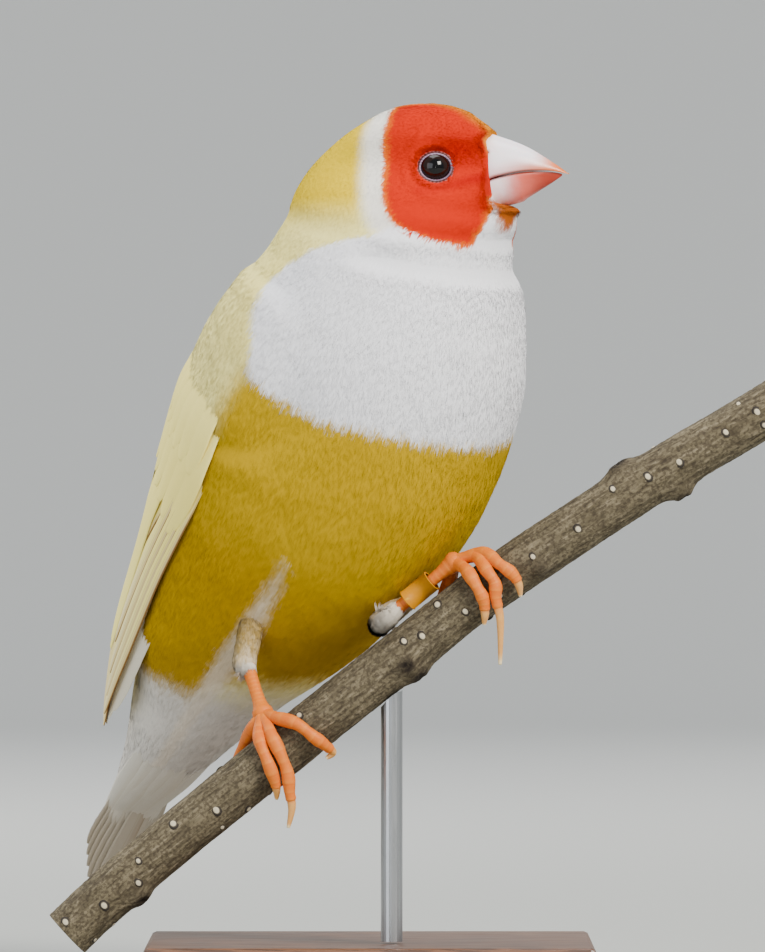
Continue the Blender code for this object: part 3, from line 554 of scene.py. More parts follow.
eye = {
    "radius": 2.35,
    "forward": 5.2,
    "height": 111.7,
    "sink": 1.75,
    "ahead": 0.28,
    "upward": 0.05,
    "lidAlong": 2.15,       # half length and half height of the opening of the lids
    "lidHigh": 1.75,
    "lidThick": 0.38,
    "lidPlace": 1.69,
}


def eyeCentre(side):
    places = np.linspace(8.2, 14.0, 800)
    centres, _, _, reach, taper = bodyFrames(places)
    index = int(np.argmin(np.abs(centres[:, 2] - eye["height"] * mm)))
    turn = math.acos(eye["forward"] * mm / reach[index, 0])
    beside = reach[index, 2] * math.sin(turn) * (1.0 - taper[index] * math.cos(turn))
    away = headRight * side * (beside - eye["sink"] * mm)
    return Vector(centres[index]) + headAhead * eye["forward"] * mm + away


def eyeOutward(side):
    return (headRight * side + headAhead * eye["ahead"] + up * eye["upward"]).normalized()


# Borders of the markings, read along the head (mm ahead of the middle of the part, mm high) and
# round the body (place, degrees); each field is about the distance inside the border in mm.
# A few fields carry painted light and shade instead: on the crown, the upper belly and by the gape.
marks = {
    "maskHeights": (99.9, 100.1, 100.6, 101.6, 102.8, 103.9, 105.9, 110.0, 114.0),
    "maskRear": (17.0, 15.4, 13.2, 11.1, 8.9, 7.6, 6.5, 5.7, 5.5),
    "throatHalf": 20.0,
    "collarHeights": (101.5, 103.0, 105.8, 110.0, 117.0),
    "collarRear": (5.6, 4.4, 3.5, 2.6, 2.3),
    "breastPlaces": (5.5, 5.7, 5.93, 6.2, 6.62, 7.0, 7.38, 7.62, 7.82, 7.97, 8.3),
    "breastSide": (88.0, 90.0, 94.0, 101.0, 108.0, 105.0, 99.0, 91.0, 81.0, 70.0, 66.0),
    "breastLow": ((0.0, 40.0, 55.0, 76.0, 92.0), (5.62, 5.59, 5.50, 5.50, 5.60)),
    "bellyTurns": (0.0, 40.0, 52.0, 96.0, 112.0),
    "bellyLow": (2.62, 2.38, 2.0, 1.88, 2.4),
    "bellySide": ((4.2, 4.7, 5.4, 5.75, 5.95), (101.0, 94.0, 92.0, 88.0, 80.0)),
    "streak": (4.0, 50.0, 2.9, 48.0, 3.4),
    "lores": (15.2, 114.2, 2.1),
    # painted shadow line back from the gape: forward and height where it starts, then where it ends
    "gapeShadow": (16.8, 110.4, 12.6, 108.8),
}


# reach is the way in mm from the root of each feather to its tip, as the tip shows the marking
def markFields(places, degrees, reach=None):
    held = np.clip(places, 0.0, 14.0)
    points = bodyPoints(held, degrees) / mm
    if reach is not None:
        step = bodyPoints(held + 0.05, degrees) - bodyPoints(held - 0.05, degrees)
        spacing = np.maximum(np.linalg.norm(step, axis=1) / mm / 0.1, 3.0)
        onHead = ramp(held, 8.2, 9.2)
        size = np.linalg.norm(reach, axis=1)
        held = np.clip(held - size / spacing * (1.0 - onHead), 0.0, 14.0)
        points = points + reach
    forward = points @ np.array(headAhead)
    height = points[:, 2]
    turn = np.abs(degrees)
    fields = {}
    mask = forward - np.interp(height, marks["maskHeights"], marks["maskRear"])
    mask = np.minimum(mask, (height - 99.9) * 1.2)
    throat = (turn - marks["throatHalf"]) * 0.22 + np.maximum(height - 106.8, 0.0) * 2.4
    fields["markMask"] = np.clip(np.minimum(mask, throat), -9.0, 9.0)
    collar = (forward - np.interp(height, marks["collarHeights"], marks["collarRear"])) * 0.45
    collar = np.minimum(collar, (height - 101.0) * 1.5)
    breast = (np.interp(held, marks["breastPlaces"], marks["breastSide"]) - turn) * 0.33
    breast = np.minimum(breast, (held - np.interp(turn, *marks["breastLow"])) * 11.5)
    fields["markWhite"] = np.clip(breast, -9.0, 9.0)
    fields["markCollar"] = ramp(collar, -0.7, 0.6)
    fields["markNape"] = ramp(height, 101.5, 108.5) * ramp(3.0 - forward, -1.5, 1.5)
    belly = (held - np.interp(turn, marks["bellyTurns"], marks["bellyLow"])) * 11.0
    belly = np.minimum(belly, (np.interp(held, *marks["bellySide"]) - turn) * 0.36)
    fields["markBelly"] = np.clip(np.minimum(belly, (5.85 - held) * 11.0), -9.0, 9.0)
    top, topTurn, foot, footTurn, spread = marks["streak"]
    part = (top - held) / (top - foot)
    middle = topTurn + (footTurn - topTurn) * part
    streak = np.clip(part, 0.0, 1.2) * spread / 2.0 - np.abs(turn - middle) * 0.32
    fields["markStreak"] = np.clip(np.where(part > 0.0, streak, -2.0), -4.0, 4.0)
    fields["markVent"] = np.clip((2.35 - held) * 11.0, -9.0, 9.0)
    chin = (np.interp(height, (102.8, 107.2), (6.0, 25.0)) - turn) * 0.14
    chin = np.minimum(chin, np.minimum(height - 102.6, (107.5 - height) * 1.5))
    fields["markChin"] = np.clip(chin, -3.0, 3.0)
    # the lores are painted a darker red, and a painted shadow line runs back from the gape
    ahead, high, radius = marks["lores"]
    lores = np.exp(-((forward - ahead) ** 2 + (height - high) ** 2) / radius ** 2) * 0.8
    ahead, high, backAhead, backHigh = marks["gapeShadow"]
    along = np.clip((ahead - forward) / (ahead - backAhead), 0.0, 1.0)
    gapeShadow = height - (high + (backHigh - high) * along)
    gapeShadow = np.exp(-(gapeShadow / 0.8) ** 2) * (1.0 - along * 0.6) * (forward > backAhead - 2.0)
    fields["markLoresAndGapeShadow"] = np.maximum(lores, gapeShadow * 0.9) * ramp(turn, 20.0, 34.0)
    # painted light and shade: the gold is painted lighter toward the breast and darker toward the vent
    fields["paintedBellyLight"] = ramp(held, 3.1, 4.6)
    # painted highlight: the top of the crown is painted a lighter orange
    beside = np.abs((points - np.array(onBody(12.4, 0.0)) / mm) @ np.array(headRight))
    fields["paintedCrownLight"] = (1.0 - ramp(beside, 1.8, 5.6)) * ramp(height, 112.5, 115.5)
    return fields


# way the feathers lie: down the body, and on the head away from the root of the bill
def lieOf(places, degrees, points):
    step = 0.06
    ahead = skinPoints(places - step, degrees) - skinPoints(places + step, degrees)
    ahead /= np.linalg.norm(ahead, axis=1, keepdims=True) + 1e-12
    root = np.array(headAhead * 20.5 + up * 112.0) * mm
    away = points - root
    away /= np.linalg.norm(away, axis=1, keepdims=True)
    share = ramp(places, 8.0, 9.3)[:, None]
    return ahead * (1.0 - share) + away * share


# a sheet over the body may be wound either way, so it is turned to face away from its middle line
def turnOutwards(mesh, places):
    middles = bodyFrames(np.clip(places, 0.0, 14.0))[0]
    outward = 0.0
    for face in mesh.polygons:
        outward += face.normal.dot(face.center - Vector(middles[face.vertices[0]]))
    if outward < 0.0:
        mesh.flip_normals()
    mesh.update()


def makeSkin():
    places = np.concatenate([np.linspace(-0.99, -0.08, 12),
                             np.linspace(0.0, 14.0, plumage["skinRings"])])
    turns = np.linspace(-180.0, 180.0, plumage["skinSides"], endpoint=False)
    allPlaces = np.repeat(places, len(turns))
    allTurns = np.tile(turns, len(places))
    points = skinPoints(allPlaces, allTurns)
    count = len(points)
    faces = ringFaces(len(places), len(turns))
    ends = [points[:len(turns)].mean(0), points[-len(turns):].mean(0)]
    sides = len(turns)
    for side in range(sides):
        following = (side + 1) % sides
        faces.append((following, side, count))
        faces.append((count - sides + side, count - sides + following, count + 1))
    skin = newObject("bodySkin", list(points) + ends, faces)
    fields = markFields(allPlaces, allTurns)
    for name, values in fields.items():
        setField(skin.data, name, np.append(values, [values[0], values[-1]]))
    setField(skin.data, "tuftTone", np.full(count + 2, 0.5))
    setField(skin.data, "tuftAlong", np.full(count + 2, 0.2))
    turnOutwards(skin.data, np.append(allPlaces, [0.0, 14.0]))
    setField(skin.data, "coatNormal", [v.normal for v in skin.data.vertices], "FLOAT_VECTOR")
    return skin


# finish shared by the skin and every coat: the markings, softened by noise along their borders, with painted
# light and shade on the crown, belly and gape, and painted shade toward the roots of the feathers
def plumageFinish(name, shade):
    material, tree = newFinish(name, Roughness=0.95, Specular_IOR_Level=0.08)
    tone = fieldOf(tree, "tuftTone")
    along = fieldOf(tree, "tuftAlong")
    flow = addNode(tree, "ShaderNodeAttribute", attribute_name="coatNormal").outputs["Vector"]
    wander = maths(tree, "SUBTRACT", noiseOf(tree, 700.0, 4.0), 0.5)
    wander = maths(tree, "MULTIPLY_ADD", tone, 0.55, maths(tree, "MULTIPLY", wander, 1.8))
    wander = maths(tree, "SUBTRACT", wander, 0.275)

    def border(mark, low, high, wobble=1.0):
        value = maths(tree, "MULTIPLY_ADD", wander, wobble, fieldOf(tree, mark))
        return stepUp(tree, value, low, high)

    broad = noiseOf(tree, 55.0, 2.0)
    cream = mixColour(tree, broad, colour(252, 240, 160), colour(248, 234, 132))
    cream = mixColour(tree, fieldOf(tree, "markNape"), cream, colour(230, 196, 0))
    paint = mixColour(tree, border("markVent", -4.0, 6.0), cream, colour(214, 209, 200))
    # painted light and shade: the gold is painted lighter toward the breast and darker toward the vent
    gold = mixColour(tree, border("paintedBellyLight", 0.2, 0.9, 0.1), colour(182, 146, 0), colour(198, 164, 0))
    gold = mixColour(tree, maths(tree, "MULTIPLY", broad, 0.5), gold, colour(172, 126, 0))
    paint = mixColour(tree, border("markBelly", -2.6, 2.0), paint, gold)
    streak = maths(tree, "MULTIPLY", border("markStreak", -1.3, 1.3), 0.72)
    paint = mixColour(tree, streak, paint, colour(226, 214, 194))
    white = mixColour(tree, broad, colour(247, 247, 250), colour(241, 242, 248))
    paint = mixColour(tree, fieldOf(tree, "markCollar"), paint, colour(247, 243, 232))
    paint = mixColour(tree, border("markWhite", -0.7, 0.7), paint, white)
    orange = mixColour(tree, border("markMask", 0.1, 1.3), colour(226, 110, 10), colour(202, 34, 0))
    orange = mixColour(tree, maths(tree, "MULTIPLY", broad, 0.3), orange, colour(190, 20, 0))
    # painted highlight: the top of the crown is painted a lighter orange
    crown = maths(tree, "MULTIPLY", fieldOf(tree, "paintedCrownLight"), 0.9)
    orange = mixColour(tree, crown, orange, colour(234, 146, 6))
    # the lores are painted a darker red, and a painted shadow line runs back from the gape
    orange = mixColour(tree, fieldOf(tree, "markLoresAndGapeShadow"), orange, colour(168, 2, 0))
    paint = mixColour(tree, border("markMask", -0.3, 0.2, 0.5), paint, orange)
    paint = mixColour(tree, border("markChin", -0.7, 1.0), paint, colour(170, 84, 18))
    # each feather is painted darker toward its root, as painted shade where the feathers overlap; the tone
    # also varies at random, and shade sets the lightness of the whole
    toneAndPaintedShade = maths(tree, "MULTIPLY_ADD", tone, 0.05, shade)
    toneAndPaintedShade = maths(tree, "MULTIPLY_ADD", along, 0.05, toneAndPaintedShade)
    shadeColour = addNode(tree, "ShaderNodeCombineColor",
                          {0: toneAndPaintedShade, 1: toneAndPaintedShade, 2: toneAndPaintedShade}).outputs[0]
    paint = mixColour(tree, 1.0, paint, shadeColour, "MULTIPLY")
    facing = addNode(tree, "ShaderNodeNewGeometry").outputs["Normal"]
    soft = addNode(tree, "ShaderNodeMix", {0: 0.9, 4: facing, 5: flow}, data_type="VECTOR").outputs[1]
    soft = addNode(tree, "ShaderNodeVectorMath", {0: soft}, operation="NORMALIZE").outputs[0]
    soft = bumpOf(tree, noiseOf(tree, 2600.0, 3.0), 0.12, 0.0002, soft)
    plug(tree, Base_Color=paint, Normal=soft)
    return material


# One small body feather is a thin blade that parts into pointed strands. Each zone of the coat
# has its own lengths and its own number of feathers to the square millimetre.
coat = {
    "strands": 3,
    "kinds": 5,
    "seed": 11,
    "patch": 0.003,
    "leastRise": 0.03,
    "mostRise": 0.11,
    "sway": 0.10,
    "roll": 0.12,
    # lengths along the body from the vent to the crown
    "lengthPlaces": (-1.0, 0.0, 2.0, 4.0, 5.6, 7.0, 7.8, 8.6, 9.4, 14.0),
    "lengths": (3.8, 3.8, 3.9, 3.7, 3.1, 2.5, 2.0, 1.35, 1.15, 1.1),
    "widthShare": 0.17,
    "tipShare": 0.9,
    # name: places, degrees, feathers to the square millimetre
    "zones": {
        "coatFaceRight": ((7.9, 14.0), (0.0, 180.0), 44.0),
        "coatFaceLeft": ((7.9, 14.0), (-180.0, 0.0), 44.0),
        "coatNape": ((6.9, 14.0), (-180.0, 180.0), 20.0),
        "coatBreastRight": ((5.45, 8.7), (0.0, 118.0), 20.0),
        "coatBreastLeft": ((5.45, 8.7), (-118.0, 0.0), 20.0),
        "coatBellyRight": ((2.1, 5.75), (0.0, 112.0), 12.0),
        "coatBellyLeft": ((2.1, 5.75), (-112.0, 0.0), 12.0),
        "coatVent": ((-0.96, 2.4), (-180.0, 180.0), 10.0),
        "coatBack": ((1.6, 7.1), (96.0, 264.0), 12.5),
    },
}


def makeTufts():
    draw = random.Random(coat["seed"])
    tufts = bpy.data.collections.new("tufts")
    strands = coat["strands"]
    for kind in range(coat["kinds"]):
        points = [(0.0, 0.0, 0.0)]
        bend = draw.uniform(-0.12, 0.12)
        for column in range(strands + 1):
            across = column / strands - 0.5
            points.append((across + bend * 0.3, 0.46 - 0.10 * abs(across), -0.09 * abs(across)))
        for column in range(strands):
            across = (column + 0.5) / strands - 0.5
            reach = 1.0 - 0.45 * across ** 2 * 4.0 * 0.5 - draw.uniform(0.0, 0.16)
            lean = across * draw.uniform(0.75, 1.15) + bend
            points.append((lean, reach, -0.07 + draw.uniform(-0.035, 0.03)))
        faces = [(0, column + 2, column + 1) for column in range(strands)]
        faces += [(column + 1, column + 2, strands + 2 + column) for column in range(strands)]
        tuft = newObject(f"tuft{kind}", points, faces)
        tuft.data.flip_normals()
        setField(tuft.data, "tuftAlong", [p[1] for p in points])
        flat = [(min(max(p[0] + 0.5, 0.0), 1.0), p[1], 0.0) for p in points]
        setField(tuft.data, "tuftUV", flat, "FLOAT_VECTOR")
        bpy.context.scene.collection.objects.unlink(tuft)
        tufts.objects.link(tuft)
    return tufts


def makeCoatTree(material):
    tree, source, identifiers = newTree("featherCoat", {
        "Density": 1.0, "Seed": 1, "Least rise": 0.1, "Most rise": 0.3, "Sway": 0.15,
        "Roll": 0.2, "Patch": 0.003, "Tufts": "NodeSocketCollection"})

    def named(name, kind="FLOAT"):
        return addNode(tree, "GeometryNodeInputNamedAttribute", {"Name": name},
                       data_type=kind).outputs[0]

    def store(geometry, name, value, kind, domain="POINT"):
        return addNode(tree, "GeometryNodeStoreNamedAttribute",
                       {"Geometry": geometry, "Name": name, "Value": value},
                       data_type=kind, domain=domain).outputs[0]

    def anyBetween(low, high, offset):
        made = addNode(tree, "FunctionNodeRandomValue", {"Seed": seeds[offset]}, data_type="FLOAT")
        for socket, value in ((made.inputs[2], low), (made.inputs[3], high)):
            if isinstance(value, bpy.types.NodeSocket):
                tree.links.new(value, socket)
            else:
                socket.default_value = value
        return made.outputs[1]

    seeds = [maths(tree, "ADD", source.outputs["Seed"], float(offset)) for offset in range(6)]
    density = maths(tree, "MULTIPLY", named("coatDensity"), source.outputs["Density"])
    spread = addNode(tree, "GeometryNodeDistributePointsOnFaces",
                     {"Mesh": source.outputs["Geometry"], "Density": density,
                      "Seed": source.outputs["Seed"]})
    normal = named("coatNormal", "FLOAT_VECTOR")
    points = store(spread.outputs["Points"], "tuftTone", anyBetween(0.0, 1.0, 0), "FLOAT")
    facing = addNode(tree, "FunctionNodeAxesToRotation",
                     {"Primary Axis": normal, "Secondary Axis": named("lie", "FLOAT_VECTOR")},
                     primary_axis="Z", secondary_axis="Y").outputs[0]
    rise = anyBetween(source.outputs["Least rise"], source.outputs["Most rise"], 1)
    still = maths(tree, "MULTIPLY", source.outputs["Sway"], -1.0)
    level = maths(tree, "MULTIPLY", source.outputs["Roll"], -1.0)
    tilt = addNode(tree, "ShaderNodeCombineXYZ",
                   {0: rise, 1: anyBetween(level, source.outputs["Roll"], 2),
                    2: anyBetween(still, source.outputs["Sway"], 3)}).outputs[0]
    tilt = addNode(tree, "FunctionNodeEulerToRotation", {0: tilt}).outputs[0]
    turned = addNode(tree, "FunctionNodeRotateRotation", {"Rotation": facing, "Rotate By": tilt},
                     rotation_space="LOCAL").outputs[0]
    length = maths(tree, "MULTIPLY", named("coatLength"), anyBetween(0.82, 1.12, 4))
    scale = addNode(tree, "ShaderNodeCombineXYZ",
                    {0: named("coatWidth"), 1: length, 2: length}).outputs[0]
    kinds = addNode(tree, "GeometryNodeCollectionInfo",
                    {"Collection": source.outputs["Tufts"], "Separate Children": True,
                     "Reset Children": True}).outputs[0]
    pick = addNode(tree, "FunctionNodeRandomValue", {"Seed": seeds[5]}, data_type="INT")
    pick.inputs[4].default_value = 0
    pick.inputs[5].default_value = coat["kinds"] - 1
    laid = addNode(tree, "GeometryNodeInstanceOnPoints",
                   {"Points": points, "Instance": kinds, "Pick Instance": True,
                    "Instance Index": pick.outputs[2], "Rotation": turned, "Scale": scale})
    whole = addNode(tree, "GeometryNodeRealizeInstances", {0: laid.outputs[0]}).outputs[0]
    inPatch = addNode(tree, "ShaderNodeVectorMath",
                      {0: named("tuftUV", "FLOAT_VECTOR"), 3: source.outputs["Patch"]},
                      operation="SCALE").outputs[0]
    unwrapped = addNode(tree, "ShaderNodeVectorMath",
                        {0: named("rootUV", "FLOAT_VECTOR"), 1: inPatch},
                        operation="ADD").outputs[0]
    whole = store(whole, "OFBake", unwrapped, "FLOAT2", "CORNER")
    for name in ("tuftUV", "rootUV", "lie", "coatLength", "coatWidth", "coatDensity"):
        whole = addNode(tree, "GeometryNodeRemoveAttribute", {0: whole, "Name": name}).outputs[0]
    painted = addNode(tree, "GeometryNodeSetMaterial", {0: whole, "Material": material})
    addNode(tree, "NodeGroupOutput", {0: painted.outputs[0]})
    return tree, identifiers


# share of the coat that grows at each place of a zone
def coatShare(name, places, degrees, points, fields):
    turn = np.abs((degrees + 180.0) % 360.0 - 180.0)
    over, low, high = wingAt(places)
    share = np.ones(len(places))
    if name.startswith("coatFace"):
        share = ramp(fields["markMask"], -0.9, 0.0)
        share = np.maximum(share, ramp(fields["markChin"], -1.0, -0.2))
    elif name == "coatNape":
        share = (1.0 - ramp(fields["markMask"], -0.5, 0.4)) * ramp(places, 6.9, 7.3)
        share = share * np.maximum(ramp(turn, 52.0, 66.0), ramp(places, 8.55, 8.75))
        share = share * (1.0 - ramp(fields["markChin"], -0.8, 0.2))
    elif name.startswith("coatBreast"):
        share = (1.0 - ramp(fields["markMask"], -0.3, 0.5)) * ramp(places, 5.45, 5.6)
        share = share * (1.0 - ramp(places, 8.5, 8.7)) * (1.0 - ramp(turn, 112.0, 118.0))
    elif name == "coatBack":
        share = ramp(turn, 96.0, 108.0) * ramp(places, 1.6, 2.0)
    hidden = ramp(turn, low + 12.0, low + 18.0) * (1.0 - ramp(turn, high - 16.0, high - 10.0))
    hidden = hidden * ramp(places, 1.4, 1.7) * (1.0 - ramp(places, 4.2, 4.5))
    share = share * (1.0 - hidden)
    for side in (1, -1):
        centre = np.array(eyeCentre(side) + eyeOutward(side) * eye["lidPlace"] * mm)
        away = np.linalg.norm(points - centre, axis=1) / mm
        share = share * ramp(away, eye["lidAlong"] - 0.2, eye["lidAlong"] + 0.5)
    forward = points @ np.array(headAhead) / mm
    height = points[:, 2] / mm
    beside = np.abs((points / mm - np.array(onBody(12.4, 0.0)) / mm) @ np.array(headRight))
    inBill = ramp(forward - rootLine(height), -0.45, -0.15)
    inBill = inBill * ramp(height, 106.4, 106.9) * (1.0 - ramp(height, 115.9, 116.3))
    return share * (1.0 - inBill * (1.0 - ramp(beside, 4.2, 4.6)))


def makeCoat(name, tree, identifiers, tufts):
    (lowPlace, highPlace), (lowTurn, highTurn), number = coat["zones"][name]
    rows = max(int((highPlace - lowPlace) / 0.055), 24)
    columns = int((highTurn - lowTurn) / 2.5) + 1
    places = np.repeat(np.linspace(lowPlace, highPlace, rows), columns)
    degrees = np.tile(np.linspace(lowTurn, highTurn, columns), rows)
    wrapped = (degrees + 180.0) % 360.0 - 180.0
    points = skinPoints(places, wrapped)
    carrier = newObject(name + "Carrier", points, ringFaces(rows, columns, closed=False))
    turnOutwards(carrier.data, places)
    mesh = carrier.data
    setField(mesh, "coatNormal", [v.normal for v in mesh.vertices], "FLOAT_VECTOR")
    length = np.interp(places, coat["lengthPlaces"], coat["lengths"])
    lie = lieOf(places, wrapped, points)
    fields = markFields(places, wrapped, lie * (length * coat["tipShare"])[:, None])
    for field, values in fields.items():
        setField(mesh, field, values)
    setField(mesh, "coatLength", length * mm)
    setField(mesh, "coatWidth", length * coat["widthShare"] * mm)
    share = coatShare(name, places, wrapped, points, fields)
    setField(mesh, "coatDensity", share * number / mm ** 2)
    setField(mesh, "lie", lie, "FLOAT_VECTOR")
    unwrap = np.stack([0.02 + 0.95 * (degrees - lowTurn) / (highTurn - lowTurn),
                       0.02 + 0.95 * (places - lowPlace) / (highPlace - lowPlace),
                       np.zeros(len(places))], -1)
    setField(mesh, "rootUV", unwrap, "FLOAT_VECTOR")
    values = {"Seed": coat["seed"], "Least rise": coat["leastRise"], "Most rise": coat["mostRise"],
              "Sway": coat["sway"], "Roll": coat["roll"], "Patch": coat["patch"],
              "Density": 1.0, "Tufts": tufts}
    return growOn(carrier, tree, identifiers, values, name)


skin = makeSkin()
# the skin is painted darker than the coat, as painted shade under the feathers
skinFinish = plumageFinish("skinUnderDown", 0.86)
coatFinish = plumageFinish("softPlumage", 0.92)
handOver(skin, skinFinish, "body_feathers", "torso", "neck", "head")
coatTree, coatInputs = makeCoatTree(coatFinish)
tuftShapes = makeTufts()
coatSlots = {"coatFace": "head_feathers", "coatNape": "cream_feathers",
             "coatBreast": "white_feathers", "coatBelly": "body_feathers",
             "coatVent": "white_feathers", "coatBack": "cream_feathers"}
for zone in coat["zones"]:
    kind = zone.removesuffix("Right").removesuffix("Left")
    handOver(makeCoat(zone, coatTree, coatInputs, tuftShapes), None, coatSlots[kind])
print("skin and coat ready")


# Long feathers. Each is a thin closed vane with a shaft; root and tip are (place along the wing,
# share of its width), and each further feather of a row is moved on by the step.
wing["rows"] = {
    "underPrimaries": {"count": 3, "root": (3.4, 0.02), "rootStep": (0.1, 0.05),
                       "tip": (1.0, 0.06), "tipStep": (-0.4, 0.12), "half": 1.9, "depth": 1.30,
                       "layer": 0.06, "kind": 1.5},
    "primaries": {"count": 9, "root": (4.2, 0.05), "rootStep": (0.06, 0.045), "tip": (0.0, 0.30),
                  "tipStep": (0.2, 0.068), "half": 1.85, "depth": 0.84, "layer": 0.032, "kind": 0.0},
    "secondaries": {"count": 7, "root": (4.6, 0.34), "rootStep": (0.036, 0.058), "tip": (1.75, 0.46),
                    "tipStep": (0.09, 0.054), "half": 2.8, "depth": 0.54, "layer": 0.028, "kind": 0.7},
    "tertials": {"count": 3, "root": (5.0, 0.66), "rootStep": (0.06, 0.12), "tip": (2.3, 0.68),
                 "tipStep": (0.42, 0.10), "half": 3.4, "depth": 0.33, "layer": 0.04, "kind": 0.6},
    # outer webs of the long feathers, seen as stripes along the lower edge
    "edgeFeathers": {"count": 4, "root": (5.0, 0.045), "rootStep": (0.05, 0.022), "tip": (0.75, 0.11),
                     "tipStep": (0.42, 0.056), "half": 1.25, "depth": 0.32, "layer": 0.03,
                     "kind": 0.1},
    "greaterCoverts": {"count": 10, "root": (5.6, 0.07), "rootStep": (0.02, 0.086),
                       "tip": (3.6, 0.125), "tipStep": (0.07, 0.082), "half": 2.3, "depth": 0.22,
                       "layer": 0.014, "kind": 0.8},
    "medianCoverts": {"count": 10, "root": (6.0, 0.11), "rootStep": (0.01, 0.084),
                      "tip": (4.3, 0.135), "tipStep": (0.04, 0.082), "half": 2.3, "depth": 0.14,
                      "layer": 0.010, "kind": 1.0},
}
wing["lining"] = {"stations": (0.7, 4.9), "parts": (0.10, 0.93), "depth": 1.25, "thickness": 0.3}

vane = {
    "rings": 30,
    "columns": 9,
    "thickness": 0.10,
    "shaft": 0.06,
    "camber": 0.10,
    "rootShare": 0.30,
    "widest": 0.62,
    "tipRound": 0.012,
    "ragged": 0.02,
}


def wingPoints(stations, parts, depths, side):
    rows = curveAt(wing["stations"], stations)
    turns = rows[:, 2] + (rows[:, 3] - rows[:, 2]) * parts
    return bodyPoints(rows[:, 0], side * turns, (rows[:, 1] - wing["sink"] - depths) * mm)


def newStore():
    return {"points": [], "faces": [], "vaneAlong": [], "vaneAcross": [], "vaneTone": [],
            "vaneKind": []}


# adds one feather: place(parts, across, rise) gives points along it, across it and above it in mm
def addVane(store, place, half, kind, draw, outerShare=1.0, side=1.0, tipRound=None, thin=1.0):
    rings = vane["rings"]
    steps = np.linspace(0.0, 1.0, rings)
    parts = 1.0 - (1.0 - steps) ** 1.35
    parts = parts * 0.997
    widest = vane["widest"]
    grow = np.sin(np.pi / 2.0 * np.minimum(parts / widest, 1.0))
    width = vane["rootShare"] + (1.0 - vane["rootShare"]) * grow
    tipRound = vane["tipRound"] if tipRound is None else tipRound
    after = np.clip((parts - widest) / (1.0 + tipRound - widest), 0.0, 1.0)
    width = width * np.sqrt(1.0 - after ** 2.2)
    width = width * (1.0 + np.array([draw.uniform(-1.0, 1.0) for _ in parts]) * vane["ragged"])
    columns = np.linspace(-1.0, 1.0, vane["columns"])
    tone = draw.random()
    start = len(store["points"])
    sides = 2 * len(columns)
    for face in (1.0, -1.0):
        order = columns if face > 0.0 else columns[::-1]
        across = np.outer(width * half, np.where(order * side < 0.0, order * outerShare, order))
        rim = 1.0 - 0.75 * np.abs(order)
        rise = face * vane["thickness"] / 2.0 * thin * rim - vane["camber"] * order ** 2
        rise = np.tile(rise, (rings, 1))
        ridge = np.exp(-(order / 0.16) ** 2) * vane["shaft"] * thin
        rise = rise + np.outer(1.0 - 0.8 * parts, ridge) * (0.8 if face > 0.0 else -0.3)
        flat = place(np.repeat(parts, len(order)), across.ravel(), rise.ravel())
        grid = flat.reshape(rings, len(order), 3)
        upper = grid if face > 0.0 else upper
        if face < 0.0:
            ringPoints = np.concatenate([upper, grid], 1)
    store["points"] += list(ringPoints.reshape(-1, 3))
    store["faces"] += ringFaces(rings, sides, start=start)
    last = start + (rings - 1) * sides
    for low, high in ((start, True), (last, False)):
        for column in range(len(columns) - 1):
            quad = (low + column, low + column + 1, low + sides - 2 - column, low + sides - 1 - column)
            store["faces"].append(quad[::-1] if high else quad)
    both = np.concatenate([columns, columns[::-1]]) * side
    store["vaneAlong"] += list(np.repeat(parts, sides))
    store["vaneAcross"] += list(np.tile(both, rings))
    store["vaneTone"] += [tone] * (rings * sides)
    store["vaneKind"] += [kind] * (rings * sides)


def vanesObject(name, store):
    made = newObject(name, store["points"], store["faces"])
    for field in ("vaneAlong", "vaneAcross", "vaneTone", "vaneKind"):
        setField(made.data, field, store[field])
    faceOutwards(made)
    return made


def makeWing(name, side):
    draw = random.Random(21 if side > 0 else 22)
    store = newStore()
    for row in wing["rows"].values():
        for order in range(row["count"]):
            root = [a + b * order for a, b in zip(row["root"], row["rootStep"])]
            tip = [a + b * order for a, b in zip(row["tip"], row["tipStep"])]
            tip[0] += draw.uniform(-0.02, 0.02)
            depth = row["depth"] - row["layer"] * order

            def place(parts, across, rise, root=root, tip=tip, depth=depth):
                count = len(across) // len(parts) if len(parts) < len(across) else 1
                parts = np.repeat(parts, count)
                stations = root[0] + (tip[0] - root[0]) * parts
                middle = root[1] + (tip[1] - root[1]) * parts
                here = wingPoints(stations, middle - 0.05, depth, side)
                there = wingPoints(stations, middle + 0.05, depth, side)
                breadth = np.linalg.norm(there - here, axis=1) / mm / 0.1
                # the hidden roots go under the small feathers of the shoulder
                sunk = depth + 1.5 * ramp(stations, root[0] - 1.3, root[0])
                return wingPoints(stations, middle + across / breadth, sunk - rise, side)

            outer = 0.72 if row["kind"] < 0.2 else 0.9
            addVane(store, place, row["half"], row["kind"], draw, outer)
    lining = wing["lining"]
    start = len(store["points"])
    stations = np.linspace(*lining["stations"], 30)
    parts = np.linspace(*lining["parts"], 16)
    sides = 2 * len(parts)
    loop = np.concatenate([parts, parts[::-1]])
    depths = np.repeat([lining["depth"], lining["depth"] + lining["thickness"]], len(parts))
    depths = np.tile(depths, len(stations)) + np.repeat(0.5 * ramp(stations, 3.6, 4.9), sides)
    store["points"] += list(wingPoints(np.repeat(stations, sides), np.tile(loop, len(stations)),
                                       depths, side))
    store["faces"] += ringFaces(len(stations), sides, start=start)
    for low, flip in ((start, True), (start + (len(stations) - 1) * sides, False)):
        for column in range(len(parts) - 1):
            quad = (low + column, low + column + 1, low + sides - 2 - column, low + sides - 1 - column)
            store["faces"].append(quad[::-1] if flip else quad)
    count = len(stations) * sides
    for field, value in (("vaneAlong", 0.5), ("vaneAcross", 0.5), ("vaneTone", 0.5), ("vaneKind", 0.6)):
        store[field] += [value] * count
    return vanesObject(name, store)


